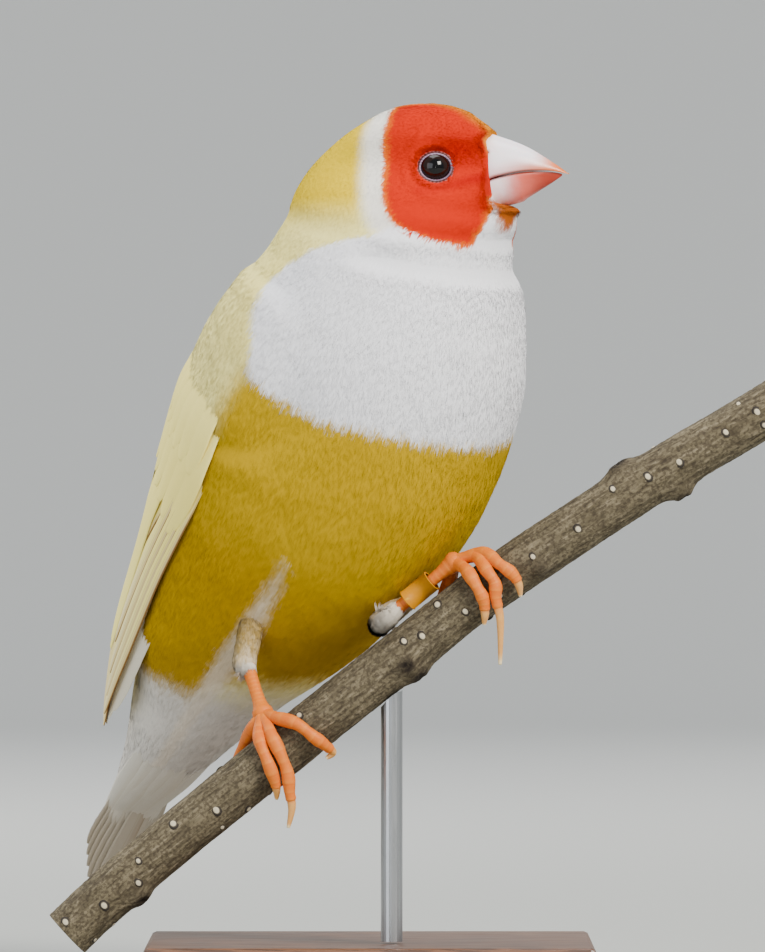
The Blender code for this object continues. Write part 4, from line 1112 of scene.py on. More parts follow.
# the tail: pairs of long feathers, the middle pair longest and on top, then the soft coverts
tail.update({
    "pairs": 6,
    "shorter": 0.072,
    "fan": 1.8,
    "firstTurn": 0.9,
    "layer": 0.30,
    "pairLayer": 0.12,
    "spread": 0.46,
    "half": 2.25,
})


def makeTail():
    draw = random.Random(31)
    store = newStore()
    length = (onBody(*tail["tip"]) - tailStart).length
    for pair in range(tail["pairs"]):
        reach = length * (1.0 - tail["shorter"] * pair)
        for side in (1, -1):
            turn = math.radians(side * (tail["fan"] * pair + tail["firstTurn"]))
            ahead = np.array(tailAlong * math.cos(turn) + bodyRight * math.sin(turn))
            beside = np.array(bodyRight * math.cos(turn) - tailAlong * math.sin(turn))
            layer = tail["layer"] * ((tail["pairs"] - 1) / 2.0 - pair) + side * tail["pairLayer"] / 2.0
            root = np.array(tailStart + (bodyRight * side * tail["spread"] * (pair + 0.5)
                                         + tailUp * layer) * mm)

            def place(parts, across, rise, root=root, ahead=ahead, beside=beside, reach=reach):
                return (root + np.outer(parts * reach, ahead) + np.outer(across * mm, beside)
                        + np.outer(rise * mm, np.array(tailUp)))

            addVane(store, place, tail["half"], 0.15, draw, 0.8, side, 0.004 if pair < 2 else 0.02)
    return vanesObject("tailFeathers", store)


# coverts of the tail, laid along the skin
softRows = [
    # first and last place, first and last degree, how far the tip turns, count, half, lift
    {"from": 0.55, "to": -0.72, "turns": (-66.0, 66.0), "shift": 0.0, "count": 9, "half": 2.3,
     "lift": 0.95, "kind": 0.45},
    {"from": 1.05, "to": -0.28, "turns": (-74.0, 74.0), "shift": 0.0, "count": 10, "half": 2.5,
     "lift": 1.15, "kind": 0.45},
    {"from": 0.4, "to": -0.93, "turns": (118.0, 242.0), "shift": 0.0, "count": 8, "half": 2.3,
     "lift": 0.95, "kind": 0.45},
]


def makeSoftVanes(name, rows):
    draw = random.Random(41)
    store = newStore()
    for row in rows:
        for order in range(row["count"]):
            share = order / max(row["count"] - 1, 1)
            turn = row["turns"][0] + (row["turns"][1] - row["turns"][0]) * share
            start = row["from"] + draw.uniform(-0.05, 0.05)
            end = row["to"] + draw.uniform(-0.06, 0.06)

            def place(parts, across, rise, start=start, end=end, turn=turn, order=order):
                places = start + (end - start) * parts
                turns = turn + row["shift"] * parts
                here = skinPoints(places, turns - 1.5)
                there = skinPoints(places, turns + 1.5)
                breadth = np.maximum(np.linalg.norm(there - here, axis=1) / mm / 3.0, 0.12)
                turns = turns + across / breadth
                lift = row["lift"] * ramp(parts, -0.15, 0.45) + 0.05 * (order % 2)
                return skinPoints(places, (turns + 180.0) % 360.0 - 180.0, lift - 0.35 + rise)

            addVane(store, place, row["half"], row["kind"], draw, 1.0, 1.0, 0.02, 0.7)
    return vanesObject(name, store)


# cream vanes; the outer webs of the long ones are beige with a brown line along the very edge
def vaneFinish(name, inner, edge, line, lineShare, tip):
    material, tree = newFinish(name, Roughness=0.85, Specular_IOR_Level=0.12)
    along = fieldOf(tree, "vaneAlong")
    across = fieldOf(tree, "vaneAcross")
    tone = fieldOf(tree, "vaneTone")
    kind = fieldOf(tree, "vaneKind")
    long = stepUp(tree, kind, 0.3, 0.62, 1.0, 0.0)
    broad = noiseOf(tree, 60.0, 2.0)
    paint = mixColour(tree, broad, colour(*inner[0]), colour(*inner[1]))
    paint = mixColour(tree, maths(tree, "MULTIPLY", tone, 0.4), paint, colour(*inner[2]))
    paint = mixColour(tree, stepUp(tree, kind, 1.2, 1.4), paint, colour(226, 218, 196))
    lower = maths(tree, "MULTIPLY", long, stepUp(tree, along, 0.35, 1.0))
    paint = mixColour(tree, maths(tree, "MULTIPLY", lower, 0.75), paint, colour(*tip))
    web = maths(tree, "MULTIPLY", stepUp(tree, across, -0.1, -0.4), long)
    web = maths(tree, "MULTIPLY", web, stepUp(tree, along, 0.10, 0.35))
    paint = mixColour(tree, web, paint, colour(*edge))
    rim = stepUp(tree, across, -0.60, -0.78)
    rim = maths(tree, "MULTIPLY", rim, maths(tree, "MULTIPLY", long, lineShare))
    rim = maths(tree, "MULTIPLY", rim, stepUp(tree, along, 0.12, 0.3))
    paint = mixColour(tree, rim, paint, colour(*line))
    shaft = maths(tree, "MULTIPLY", stepUp(tree, maths(tree, "ABSOLUTE", across), 0.07, 0.02), long)
    paint = mixColour(tree, maths(tree, "MULTIPLY", shaft, 0.3), paint, colour(*line))
    barbs = maths(tree, "MULTIPLY_ADD", maths(tree, "ABSOLUTE", across), -0.12, along)
    barbs = maths(tree, "MULTIPLY_ADD", noiseOf(tree, 300.0, 2.0), 0.012, barbs)
    barbs = maths(tree, "SINE", maths(tree, "MULTIPLY", barbs, 520.0))
    fine = noiseOf(tree, 1600.0, 3.0)
    height = maths(tree, "MULTIPLY_ADD", barbs, 0.25, fine)
    streak = maths(tree, "MULTIPLY_ADD", barbs, 0.012, 0.98)
    streak = maths(tree, "MULTIPLY_ADD", fine, 0.05, maths(tree, "SUBTRACT", streak, 0.02))
    shade = addNode(tree, "ShaderNodeCombineColor", {0: streak, 1: streak, 2: streak}).outputs[0]
    plug(tree, Base_Color=mixColour(tree, 1.0, paint, shade, "MULTIPLY"),
         Normal=bumpOf(tree, height, 0.12, 0.0001))
    return material


creamVanes = vaneFinish("creamFlightFeathers", ((254, 240, 146), (250, 232, 122), (252, 238, 138)),
                        (226, 202, 140), (128, 88, 42), 0.95, (224, 210, 176))
tailVanes = vaneFinish("paleTailFeathers", ((184, 175, 158), (172, 163, 146), (190, 181, 164)),
                       (172, 160, 142), (160, 144, 118), 0.4, (176, 164, 144))
whiteVanes = vaneFinish("whiteSoftFeathers", ((206, 201, 188), (196, 191, 178), (210, 205, 190)),
                        (200, 192, 174), (196, 184, 156), 0.3, (196, 188, 172))
handOver(makeWing("wingRight", 1), creamVanes, "cream_feathers", "wing_right")
handOver(makeWing("wingLeft", -1), creamVanes, "cream_feathers", "wing_left")
handOver(makeTail(), tailVanes, "white_feathers", "tail")
handOver(makeSoftVanes("tailCoverts", softRows), whiteVanes, "white_feathers")
print("wings and tail ready")


# The bill: side outlines in millimetres, forward of the face and above the floor.
bill = {
    "place": 10.0,
    "baseAcross": 15.8,
    "root": -2.0,
    "upperLength": 11.9,
    "lowerLength": 10.9,
    "culmen": [(-2.0, 116.9), (2.0, 115.9), (6.0, 114.5), (10.0, 112.2), (11.9, 110.85)],
    "mouth": [(-2.0, 109.3), (0.5, 109.7), (2.2, 110.4), (5.75, 111.2), (9.2, 111.3), (11.9, 110.8)],
    "gonys": [(-2.0, 105.9), (1.0, 106.2), (5.0, 107.0), (6.2, 107.7), (9.3, 109.6), (10.9, 110.7)],
    "upperHalf": 4.1,
    "lowerHalf": 3.7,
    "taper": 1.35,
    "arch": 0.85,
    "gap": 0.16,
    "rings": 96,
    "steps": 56,
    "nostril": (0.85, 113.9, 0.42, 0.30),     # forward, height, reach and depth
}

billBase = Vector(bodyFrames(np.array([bill["place"]]))[0][0])
billBase += headAhead * ((bill["baseAcross"] * mm - billBase.x) / headAhead.x)


def smoothLine(pairs, values):
    rows = curveAt(pairs, np.linspace(0.0, len(pairs) - 1.0, 400))
    return np.interp(values, rows[:, 0], rows[:, 1])


def billPoint(forward, across, height):
    place = billBase + (headAhead * forward + headRight * across) * mm
    place.z = height * mm
    return place


def makeBillHalf(name, upper):
    length = bill["upperLength"] if upper else bill["lowerLength"]
    widest = bill["upperHalf"] if upper else bill["lowerHalf"]
    sign = 1.0 if upper else -1.0
    rings = []
    fields = {"billAlong": [], "billHigh": []}
    for index in range(bill["rings"]):
        part = 1.0 - (1.0 - index / (bill["rings"] - 1)) ** 1.25
        forward = bill["root"] + (length * 0.996 - bill["root"]) * part
        half = widest * max(1.0 - (max(forward, 0.0) / length) ** bill["taper"], 0.02)
        mouth = float(smoothLine(bill["mouth"], forward)) + sign * bill["gap"] / 2.0
        far = float(smoothLine(bill["culmen" if upper else "gonys"], forward))
        depth = max((far - mouth) * sign, 0.12)
        ring = []
        for step in range(bill["steps"] + 1):
            turn = math.pi * step / bill["steps"]
            rise = math.sin(turn) ** bill["arch"]
            # a low ridge along the culmen, and a cutting edge that turns in at the mouth
            ridge = 0.05 * math.exp(-((turn - math.pi / 2.0) / 0.16) ** 2) if upper else 0.0
            tuck = 1.0 - 0.05 * math.exp(-(rise / 0.10) ** 2)
            ring.append(billPoint(forward, half * tuck * math.cos(turn),
                                  mouth + sign * depth * rise * (1.0 + ridge)))
            fields["billHigh"].append(rise)
        for step in (-0.62, -0.25, 0.25, 0.62):
            inset = mouth + sign * depth * (0.10 if abs(step) > 0.5 else 0.18)
            ring.append(billPoint(forward, half * step, inset))
            fields["billHigh"].append(0.0)
        fields["billAlong"] += [max(forward, 0.0) / length] * len(ring)
        rings.append(ring)
    made = loft(name, rings)
    for field, values in fields.items():
        setField(made.data, field, values + [values[0], values[-1]])
    nostril = [0.0] * len(made.data.vertices)
    if upper:
        ahead, height, reach, deep = bill["nostril"]
        for vertex in made.data.vertices:
            offset = vertex.co - billPoint(ahead, 0.0, height)
            forward = offset.dot(headAhead) / mm / 1.25
            high = offset.z / mm
            away = math.hypot(forward, high * 1.2 + forward * 0.25) / reach
            if away < 2.2:
                hollow = math.exp(-(away * 1.15) ** 4)
                lip = 0.10 * math.exp(-((away - 1.25) / 0.3) ** 2)
                nostril[vertex.index] = hollow
                side = 1.0 if offset.dot(headRight) > 0.0 else -1.0
                vertex.co -= headRight * side * (hollow * deep - lip) * mm
    setField(made.data, "nostril", nostril)
    made.data.update()
    return made


def billFinish(name, upper):
    material, tree = newFinish(name, Roughness=0.36, Coat_Weight=0.25, Coat_Roughness=0.25,
                               Subsurface_Weight=0.12, Subsurface_Scale=0.0012)
    along = fieldOf(tree, "billAlong")
    high = fieldOf(tree, "billHigh")
    cloud = noiseOf(tree, 420.0, 3.0)
    drift = maths(tree, "MULTIPLY_ADD", cloud, 0.16, along)
    horn = mixColour(tree, cloud, colour(250, 245, 249), colour(243, 234, 243))
    if upper:
        blush = stepUp(tree, high, 0.42, 0.0)
        horn = mixColour(tree, maths(tree, "MULTIPLY", blush, 0.6), horn, colour(240, 186, 188))
        edge = maths(tree, "MULTIPLY", stepUp(tree, high, 0.70, 0.10), stepUp(tree, along, 0.12, 0.65))
        horn = mixColour(tree, maths(tree, "MULTIPLY", edge, 0.75), horn, colour(222, 104, 46))
        horn = mixColour(tree, stepUp(tree, drift, 0.60, 0.98), horn, colour(222, 106, 26))
        horn = mixColour(tree, stepUp(tree, drift, 0.95, 1.12), horn, colour(186, 110, 0))
    else:
        blush = stepUp(tree, drift, 0.22, 0.62)
        horn = mixColour(tree, blush, horn, colour(214, 96, 78))
        horn = mixColour(tree, stepUp(tree, drift, 0.52, 0.92), horn, colour(158, 36, 0))
    # the edges along the mouth are painted darker, as painted shade in the gap between the halves
    mouthShade = maths(tree, "MULTIPLY", stepUp(tree, high, 0.10, 0.0), 0.75)
    horn = mixColour(tree, mouthShade, horn, colour(150, 60, 44))
    # the root of the bill is painted darker where it goes into the face, as painted shade under the feathers
    root = stepUp(tree, along, 0.05, 0.0)
    horn = mixColour(tree, maths(tree, "MULTIPLY", root, 0.4), horn, colour(196, 120, 110))
    # the nostril hollow is painted dark, as painted shade inside the nostril
    horn = mixColour(tree, stepUp(tree, fieldOf(tree, "nostril"), 0.25, 0.8), horn, colour(70, 26, 24))
    grain = noiseOf(tree, 900.0, 4.0, objectSpace(tree, (0.35, 1.0, 2.4), (0.0, 0.5, 0.2)))
    scuff = noiseOf(tree, 2600.0, 2.0)
    plug(tree, Base_Color=horn,
         Roughness=stepUp(tree, scuff, 0.3, 0.8, 0.30, 0.46),
         Normal=bumpOf(tree, grain, 0.22, 0.00012))
    return material


def makeEye(name, side):
    centre = eyeCentre(side)
    outward = eyeOutward(side)
    across = up.cross(outward).normalized()
    high = outward.cross(across)
    rings, sides = 60, 72
    points = [tuple(centre + outward * eye["radius"] * mm)]
    ring = [0.0]
    for index in range(1, rings):
        turn = math.pi * index / rings
        # the clear front of the eye stands a little prouder than the ball
        size = eye["radius"] + 0.10 * math.exp(-(turn / 0.55) ** 2)
        for step in range(sides):
            roll = 2.0 * math.pi * step / sides
            flat = across * math.cos(roll) + high * math.sin(roll)
            points.append(centre + (outward * math.cos(turn) + flat * math.sin(turn)) * size * mm)
            ring.append(math.sin(turn) * eye["radius"] if turn < math.pi / 2.0 else 9.0)
    points.append(centre - outward * eye["radius"] * mm)
    ring.append(9.0)
    faces = ringFaces(rings - 1, sides, start=1)
    last = 1 + (rings - 2) * sides
    for step in range(sides):
        following = (step + 1) % sides
        faces.append((0, 1 + step, 1 + following))
        faces.append((len(points) - 1, last + following, last + step))
    made = newObject(name, points, faces)
    setField(made.data, "eyeRing", ring)
    faceOutwards(made)
    return made


def eyeFinish():
    material, tree = newFinish("darkEye", Roughness=0.10, Specular_IOR_Level=0.35)
    ring = fieldOf(tree, "eyeRing")
    fibre = noiseOf(tree, 2600.0, 3.0)
    iris = mixColour(tree, fibre, colour(38, 18, 10), colour(20, 10, 7))
    paint = mixColour(tree, stepUp(tree, ring, 0.95, 1.15), colour(3, 3, 4), iris)
    paint = mixColour(tree, stepUp(tree, ring, 1.65, 1.9), paint, colour(10, 6, 6))
    plug(tree, Base_Color=paint)
    return material


# lids: a beaded ring of bare skin from the eye out to the feathers
lids = {
    "inner": (2.02, 1.72),
    "outer": (2.66, 2.36),
    "crest": 0.14,
    "over": 0.06,
    "beads": 30,
    "bead": 0.05,
    "sides": 240,
    "profile": 18,
}


def makeLids(side, skinTree):
    centre = eyeCentre(side)
    outward = eyeOutward(side)
    across = up.cross(outward).normalized()
    high = outward.cross(across)
    rings = []
    share = []
    for step in range(lids["sides"]):
        roll = 2.0 * math.pi * step / lids["sides"]
        flat = across * math.cos(roll), high * math.sin(roll)
        inner = (flat[0] * lids["inner"][0] + flat[1] * lids["inner"][1]) * mm
        outer = (flat[0] * lids["outer"][0] + flat[1] * lids["outer"][1]) * mm
        depthIn = math.sqrt((eye["radius"] * mm) ** 2 - inner.length_squared) - 0.02 * mm
        hit = skinTree.ray_cast(centre + outer + outward * 12.0 * mm, -outward)[0]
        depthOut = (hit - centre).dot(outward) - 0.10 * mm
        # a small fold before and behind the eye
        corner = 0.10 * math.cos(roll) ** 8
        ring = []
        for index in range(lids["profile"]):
            part = index / (lids["profile"] - 1)
            place = inner.lerp(outer, part)
            depth = depthIn + (depthOut - depthIn) * part
            crest = math.sin(math.pi * min(part / 0.62, 1.0)) ** 0.8 if part < 0.62 else 0.0
            second = 0.18 * math.exp(-((part - 0.76) / 0.09) ** 2)
            beads = math.cos(lids["beads"] * roll) * lids["bead"] * (crest + 2.2 * second)
            under = skinTree.ray_cast(centre + place + outward * 12.0 * mm, -outward)[0]
            depth = max(depth, (under - centre).dot(outward) + lids["over"] * (1.0 - part) * mm)
            depth += (lids["crest"] * (crest + second) * (1.0 - corner) + beads) * mm
            ring.append(centre + place + outward * depth)
            share.append(part)
        for part, sink in ((1.05, 0.6), (0.5, 0.9), (-0.05, 0.6)):
            place = inner.lerp(outer, part)
            depth = depthIn + (depthOut - depthIn) * part - sink * mm
            ring.append(centre + place + outward * depth)
            share.append(min(max(part, 0.0), 1.0))
        rings.append(ring)
    sides = len(rings[0])
    points = [p for ring in rings for p in ring]
    faces = ringFaces(len(rings), sides)
    last = (len(rings) - 1) * sides
    for column in range(sides):
        following = (column + 1) % sides
        faces.append((last + column, last + following, following, column))
    made = newObject("lids", points, faces)
    setField(made.data, "lidShare", share)
    setField(made.data, "lidBead", [0.5 + 0.5 * math.cos(lids["beads"] * 2.0 * math.pi * (k // sides)
                                                        / lids["sides"]) for k in range(len(points))])
    faceOutwards(made)
    return made


def lidFinish():
    material, tree = newFinish("paleEyelid", Roughness=0.55, Subsurface_Weight=0.1,
                               Subsurface_Scale=0.0008)
    share = fieldOf(tree, "lidShare")
    bead = fieldOf(tree, "lidBead")
    pale = mixColour(tree, noiseOf(tree, 1500.0, 2.0), colour(160, 134, 154), colour(130, 106, 132))
    paint = mixColour(tree, stepUp(tree, share, 0.10, 0.0), pale, colour(40, 22, 26))
    paint = mixColour(tree, stepUp(tree, share, 0.32, 0.42), paint, colour(70, 26, 20))
    second = maths(tree, "MULTIPLY", stepUp(tree, share, 0.60, 0.68), bead)
    paint = mixColour(tree, maths(tree, "MULTIPLY", second, 0.5), paint, colour(190, 116, 112))
    paint = mixColour(tree, stepUp(tree, share, 0.78, 0.92), paint, colour(196, 30, 0))
    plug(tree, Base_Color=paint, Normal=bumpOf(tree, noiseOf(tree, 3500.0, 2.0), 0.3, 0.0001))
    return material


handOver(makeBillHalf("billUpper", True), billFinish("upperBillHorn", True), "bill_horn", "beak_upper")
handOver(makeBillHalf("billLower", False), billFinish("lowerBillHorn", False), "bill_horn", "beak_lower")
glossy = eyeFinish()
handOver(makeEye("eyeRight", 1), glossy, "eye", "eye_right")
handOver(makeEye("eyeLeft", -1), glossy, "eye", "eye_left")
skinTree = BVHTree.FromObject(skin, bpy.context.evaluated_depsgraph_get())
eyelids = joinObjects("eyelids", [makeLids(1, skinTree), makeLids(-1, skinTree)])
handOver(eyelids, lidFinish(), "eye")
print("bill and eyes ready")


# Branch: points of its middle line across and up in millimetres, and its knots:
# across, turn from the upper side toward the viewer, radius, height.
branch = {
    "depth": -13.0,
    "radius": 3.6,
    "points": [(-41.7, 6.4), (-34.0, 13.5), (-18.8, 26.1), (-3.6, 38.4), (6.1, 46.0),
               (16.5, 54.2), (30.8, 63.8), (41.2, 70.5), (53.0, 77.5), (60.6, 82.1)],
    "knots": [(-33.6, 150.0, 1.5, 0.8), (4.6, 160.0, 1.6, 0.5), (36.4, 12.0, 1.9, 0.9),
              (41.0, 172.0, 1.5, 1.2), (-12.0, 35.0, 1.3, 0.35), (22.5, 118.0, 1.2, 0.35),
              (4.2, 112.0, 1.25, 0.45)],
    "rings": 420,
    "sides": 96,
    # pores seen in the photo: across and up in millimetres, then how many more lie out of sight
    "pores": [(-41.8, 8.1), (-31.8, 16.5), (-31.8, 13.5), (-21.1, 23.5), (-20.3, 21.1), (-21.2, 28.8),
              (-16.7, 23.6), (-9.7, 36.5), (7.2, 47.4), (4.7, 46.7), (13.1, 50.8), (9.3, 51.7),
              (22.4, 58.3), (28.6, 62.1), (38.2, 69.3), (42.5, 71.3), (48.9, 75.4), (50.7, 79.3),
              (53.2, 78.2), (54.2, 76.4), (-36.5, 10.4), (-27.0, 21.6), (17.8, 53.0), (33.4, 67.6)],
    "otherPores": 46,
}


def branchRow(fractions):
    last = len(branch["points"]) - 1
    rows = curveAt(branch["points"], np.atleast_1d(fractions) * last)
    points = np.stack([rows[:, 0], np.full(len(rows), branch["depth"]), rows[:, 1]], -1)
    return points * mm


branchFractions = np.linspace(0.0, 1.0, 1200)
branchMiddle = branchRow(branchFractions)


def branchAt(across):
    return float(np.interp(across, branchMiddle[:, 0], branchFractions))


def branchFrame(fraction):
    ends = branchRow([max(fraction - 0.01, 0.0), min(fraction + 0.01, 1.0)])
    ahead = Vector(ends[1] - ends[0]).normalized()
    return Vector(branchRow(fraction)[0]), ahead, Vector((-ahead.z, 0.0, ahead.x))


def knotPlaces():
    placed = []
    for across, turn, radius, height in branch["knots"]:
        centre, ahead, upper = branchFrame(branchAt(across * mm))
        roll = math.radians(turn)
        out = upper * math.cos(roll) - Vector((0.0, 1.0, 0.0)) * math.sin(roll)
        placed.append((centre + out * branch["radius"] * mm, out, radius, height))
    return placed


def makeBranch():
    fractions = np.linspace(0.0, 1.0, branch["rings"])
    knots = knotPlaces()
    rings = []
    cracks = []
    knotField = []
    hollowShades = []
    space = []
    toward = Vector((0.0, -1.0, 0.0))
    for index, fraction in enumerate(fractions):
        centre, ahead, upper = branchFrame(fraction)
        distance = fraction * 128.0
        swell = 0.10 * noise.noise(Vector((distance * 0.07, 3.0, 1.0)))
        ring = []
        for side in range(branch["sides"]):
            roll = 2.0 * math.pi * side / branch["sides"]
            out = upper * math.cos(roll) + toward * math.sin(roll)
            place = Vector((distance, math.cos(roll) * 3.6, math.sin(roll) * 3.6))
            long = Vector((place.x * 0.16, place.y * 0.85, place.z * 0.85))
            ridge = noise.fractal(long, 0.9, 2.1, 4)
            crack = max(0.0, abs(noise.noise(long * 1.9 + Vector((9.0, 0.0, 0.0)))) * -1.0 + 0.16) / 0.16
            rough = noise.noise(place * 1.7)
            radius = branch["radius"] + swell + 0.11 * ridge + 0.05 * rough - 0.07 * crack - 0.06
            surface = centre + out * radius * mm
            most = 0.0
            hollowShade = 0.0
            for knotPlace, knotOut, size, height in knots:
                away = (surface - knotPlace).length / mm
                if away < size * 3.0:
                    bump = math.exp(-(away / (size * 1.15)) ** 2)
                    hollow = 0.55 * math.exp(-(away / (size * 0.42)) ** 2) if height > 0.4 else 0.0
                    surface = surface + knotOut * (bump * (height + 0.45) - hollow * (height + 0.5)) * mm
                    most = max(most, bump)
                    # the hollow in a larger knot is marked for painted shade
                    if height > 0.4:
                        hollowShade = max(hollowShade, math.exp(-(away / (size * 0.75)) ** 4))
            ring.append(surface)
            space.append((place.x * 0.2, place.y, place.z))
            cracks.append(crack)
            knotField.append(most)
            hollowShades.append(hollowShade)
        rings.append(ring)
    made = loft("branchBark", rings)
    setField(made.data, "barkCrackShade", cracks + [0.0, 0.0])
    setField(made.data, "barkKnot", knotField + [0.0, 0.0])
    setField(made.data, "barkHollowShade", hollowShades + [0.0, 0.0])
    setField(made.data, "barkSpace", space + [space[0], space[-1]], "FLOAT_VECTOR")
    return made


# pores of the bark: small raised ovals set on a carrier point mesh with their own directions
def makePores(barkTree, material):
    draw = random.Random(51)
    places = []
    for across, high in branch["pores"]:
        start = Vector((across * mm, -0.2, high * mm))
        hit, normal, _, _ = barkTree.ray_cast(start, Vector((0.0, 1.0, 0.0)))
        if hit:
            places.append((hit, normal))
    for _ in range(branch["otherPores"]):
        fraction = draw.uniform(0.02, 0.98)
        centre, ahead, upper = branchFrame(fraction)
        roll = draw.uniform(0.0, 2.0 * math.pi)
        out = upper * math.cos(roll) - Vector((0.0, 1.0, 0.0)) * math.sin(roll)
        if out.y < -0.45:
            continue
        hit, normal, _, _ = barkTree.ray_cast(centre + out * 0.02, -out)
        if hit:
            places.append((hit, normal))
    mesh = bpy.data.meshes.new("poreCarrier")
    mesh.from_pydata([tuple(hit) for hit, _ in places], [], [])
    carrier = bpy.data.objects.new("poreCarrier", mesh)
    bpy.context.scene.collection.objects.link(carrier)
    setField(mesh, "out", [tuple(normal) for _, normal in places], "FLOAT_VECTOR")
    sizes = [draw.uniform(0.27, 0.40) for _ in places]
    setField(mesh, "poreSize", [size * mm for size in sizes])
    profile = [(0.0, 0.42), (0.40, 0.45), (0.60, 0.40), (0.78, 0.40), (0.95, 0.34), (1.08, 0.16),
               (1.45, 0.08), (1.85, -0.20)]
    points = []
    for radius, height in profile[1:]:
        for side in range(12):
            turn = 2.0 * math.pi * side / 12
            points.append((radius * math.cos(turn), radius * math.sin(turn) * 1.25, height))
    faces = ringFaces(len(profile) - 1, 12)
    points.append((0.0, 0.0, profile[0][1]))
    faces += [(side, (side + 1) % 12, len(points) - 1) for side in range(12)]
    pore = newObject("poreShape", points, faces)
    # the top of each pore is pale; its skirt is painted dark, as a painted shadow round the raised pore
    rings = [1.0] * 36 + [0.8] * 12 + [0.1] * 12 + [0.0] * 24
    setField(pore.data, "poreShadowRing", rings + [1.0])
    work = bmesh.new()
    work.from_mesh(pore.data)
    bmesh.ops.recalc_face_normals(work, faces=work.faces)
    if sum(face.normal.z for face in work.faces) < 0.0:
        bmesh.ops.reverse_faces(work, faces=work.faces)
    work.to_mesh(pore.data)
    work.free()
    bpy.context.scene.collection.objects.unlink(pore)
    tree, source, identifiers = newTree("barkPores", {"Pore": "NodeSocketObject", "Size": 1.0,
                                                      "Seed": 5})
    points = addNode(tree, "GeometryNodeMeshToPoints", {"Mesh": source.outputs["Geometry"]}).outputs[0]
    out = addNode(tree, "GeometryNodeInputNamedAttribute", {"Name": "out"},
                  data_type="FLOAT_VECTOR").outputs[0]
    facing = addNode(tree, "FunctionNodeAxesToRotation",
                     {"Primary Axis": out, "Secondary Axis": (0.62, 0.0, 0.5)},
                     primary_axis="Z", secondary_axis="X").outputs[0]
    size = addNode(tree, "GeometryNodeInputNamedAttribute", {"Name": "poreSize"},
                   data_type="FLOAT").outputs[0]
    size = maths(tree, "MULTIPLY", size, source.outputs["Size"])
    shape = addNode(tree, "GeometryNodeObjectInfo", {"Object": source.outputs["Pore"]})
    laid = addNode(tree, "GeometryNodeInstanceOnPoints",
                   {"Points": points, "Instance": shape.outputs["Geometry"], "Rotation": facing,
                    "Scale": size})
    endTree(tree, laid.outputs[0], material)
    return growOn(carrier, tree, identifiers, {"Pore": pore, "Size": 1.0, "Seed": 5}, "barkPores")


def barkFinish():
    material, tree = newFinish("greyBrownBark", Roughness=0.9, Specular_IOR_Level=0.2)
    # coordinates that run along the branch, so that the grain does too
    space = addNode(tree, "ShaderNodeAttribute", attribute_name="barkSpace").outputs["Vector"]
    grain = noiseOf(tree, 0.7, 6.0, space, 0.66)
    long = noiseOf(tree, 1.9, 5.0, space, 0.62)
    fine = noiseOf(tree, 2200.0, 4.0)
    paint = mixColour(tree, stepUp(tree, grain, 0.30, 0.72), colour(84, 76, 58), colour(116, 106, 84))
    paint = mixColour(tree, stepUp(tree, long, 0.48, 0.74), paint, colour(136, 125, 102))
    paint = mixColour(tree, stepUp(tree, long, 0.46, 0.28), paint, colour(62, 54, 42))
    # the cracks are painted darker, as painted shade in the cracks
    paint = mixColour(tree, maths(tree, "MULTIPLY", fieldOf(tree, "barkCrackShade"), 0.55), paint,
                      colour(48, 40, 32))
    paint = mixColour(tree, maths(tree, "MULTIPLY", fieldOf(tree, "barkKnot"), 0.6), paint,
                      colour(50, 42, 34))
    paint = mixColour(tree, stepUp(tree, fine, 0.55, 0.40, 0.0, 0.6), paint, colour(54, 46, 36))
    # the hollow in the middle of each larger knot is painted near black, as painted shade in the hollow
    hollowShade = maths(tree, "MULTIPLY", fieldOf(tree, "barkHollowShade"), stepUp(tree, fine, 0.66, 0.42, 0.5, 1.0))
    paint = mixColour(tree, hollowShade, paint, colour(26, 20, 16))
    height = maths(tree, "MULTIPLY_ADD", long, 1.2, grain)
    height = maths(tree, "MULTIPLY_ADD", fine, 0.45, height)
    plug(tree, Base_Color=paint, Normal=bumpOf(tree, height, 0.65, 0.0004))
    return material


def poreFinish():
    material, tree = newFinish("creamPore", Roughness=0.85)
    ring = fieldOf(tree, "poreShadowRing")
    pale = mixColour(tree, noiseOf(tree, 1800.0, 3.0), colour(206, 196, 170), colour(180, 168, 140))
    # the skirt of each pore is painted dark, as a painted shadow round the raised pore
    paint = mixColour(tree, ring, colour(34, 27, 20), pale)
    plug(tree, Base_Color=paint, Normal=bumpOf(tree, noiseOf(tree, 2600.0, 2.0), 0.4, 0.0001))
    return material


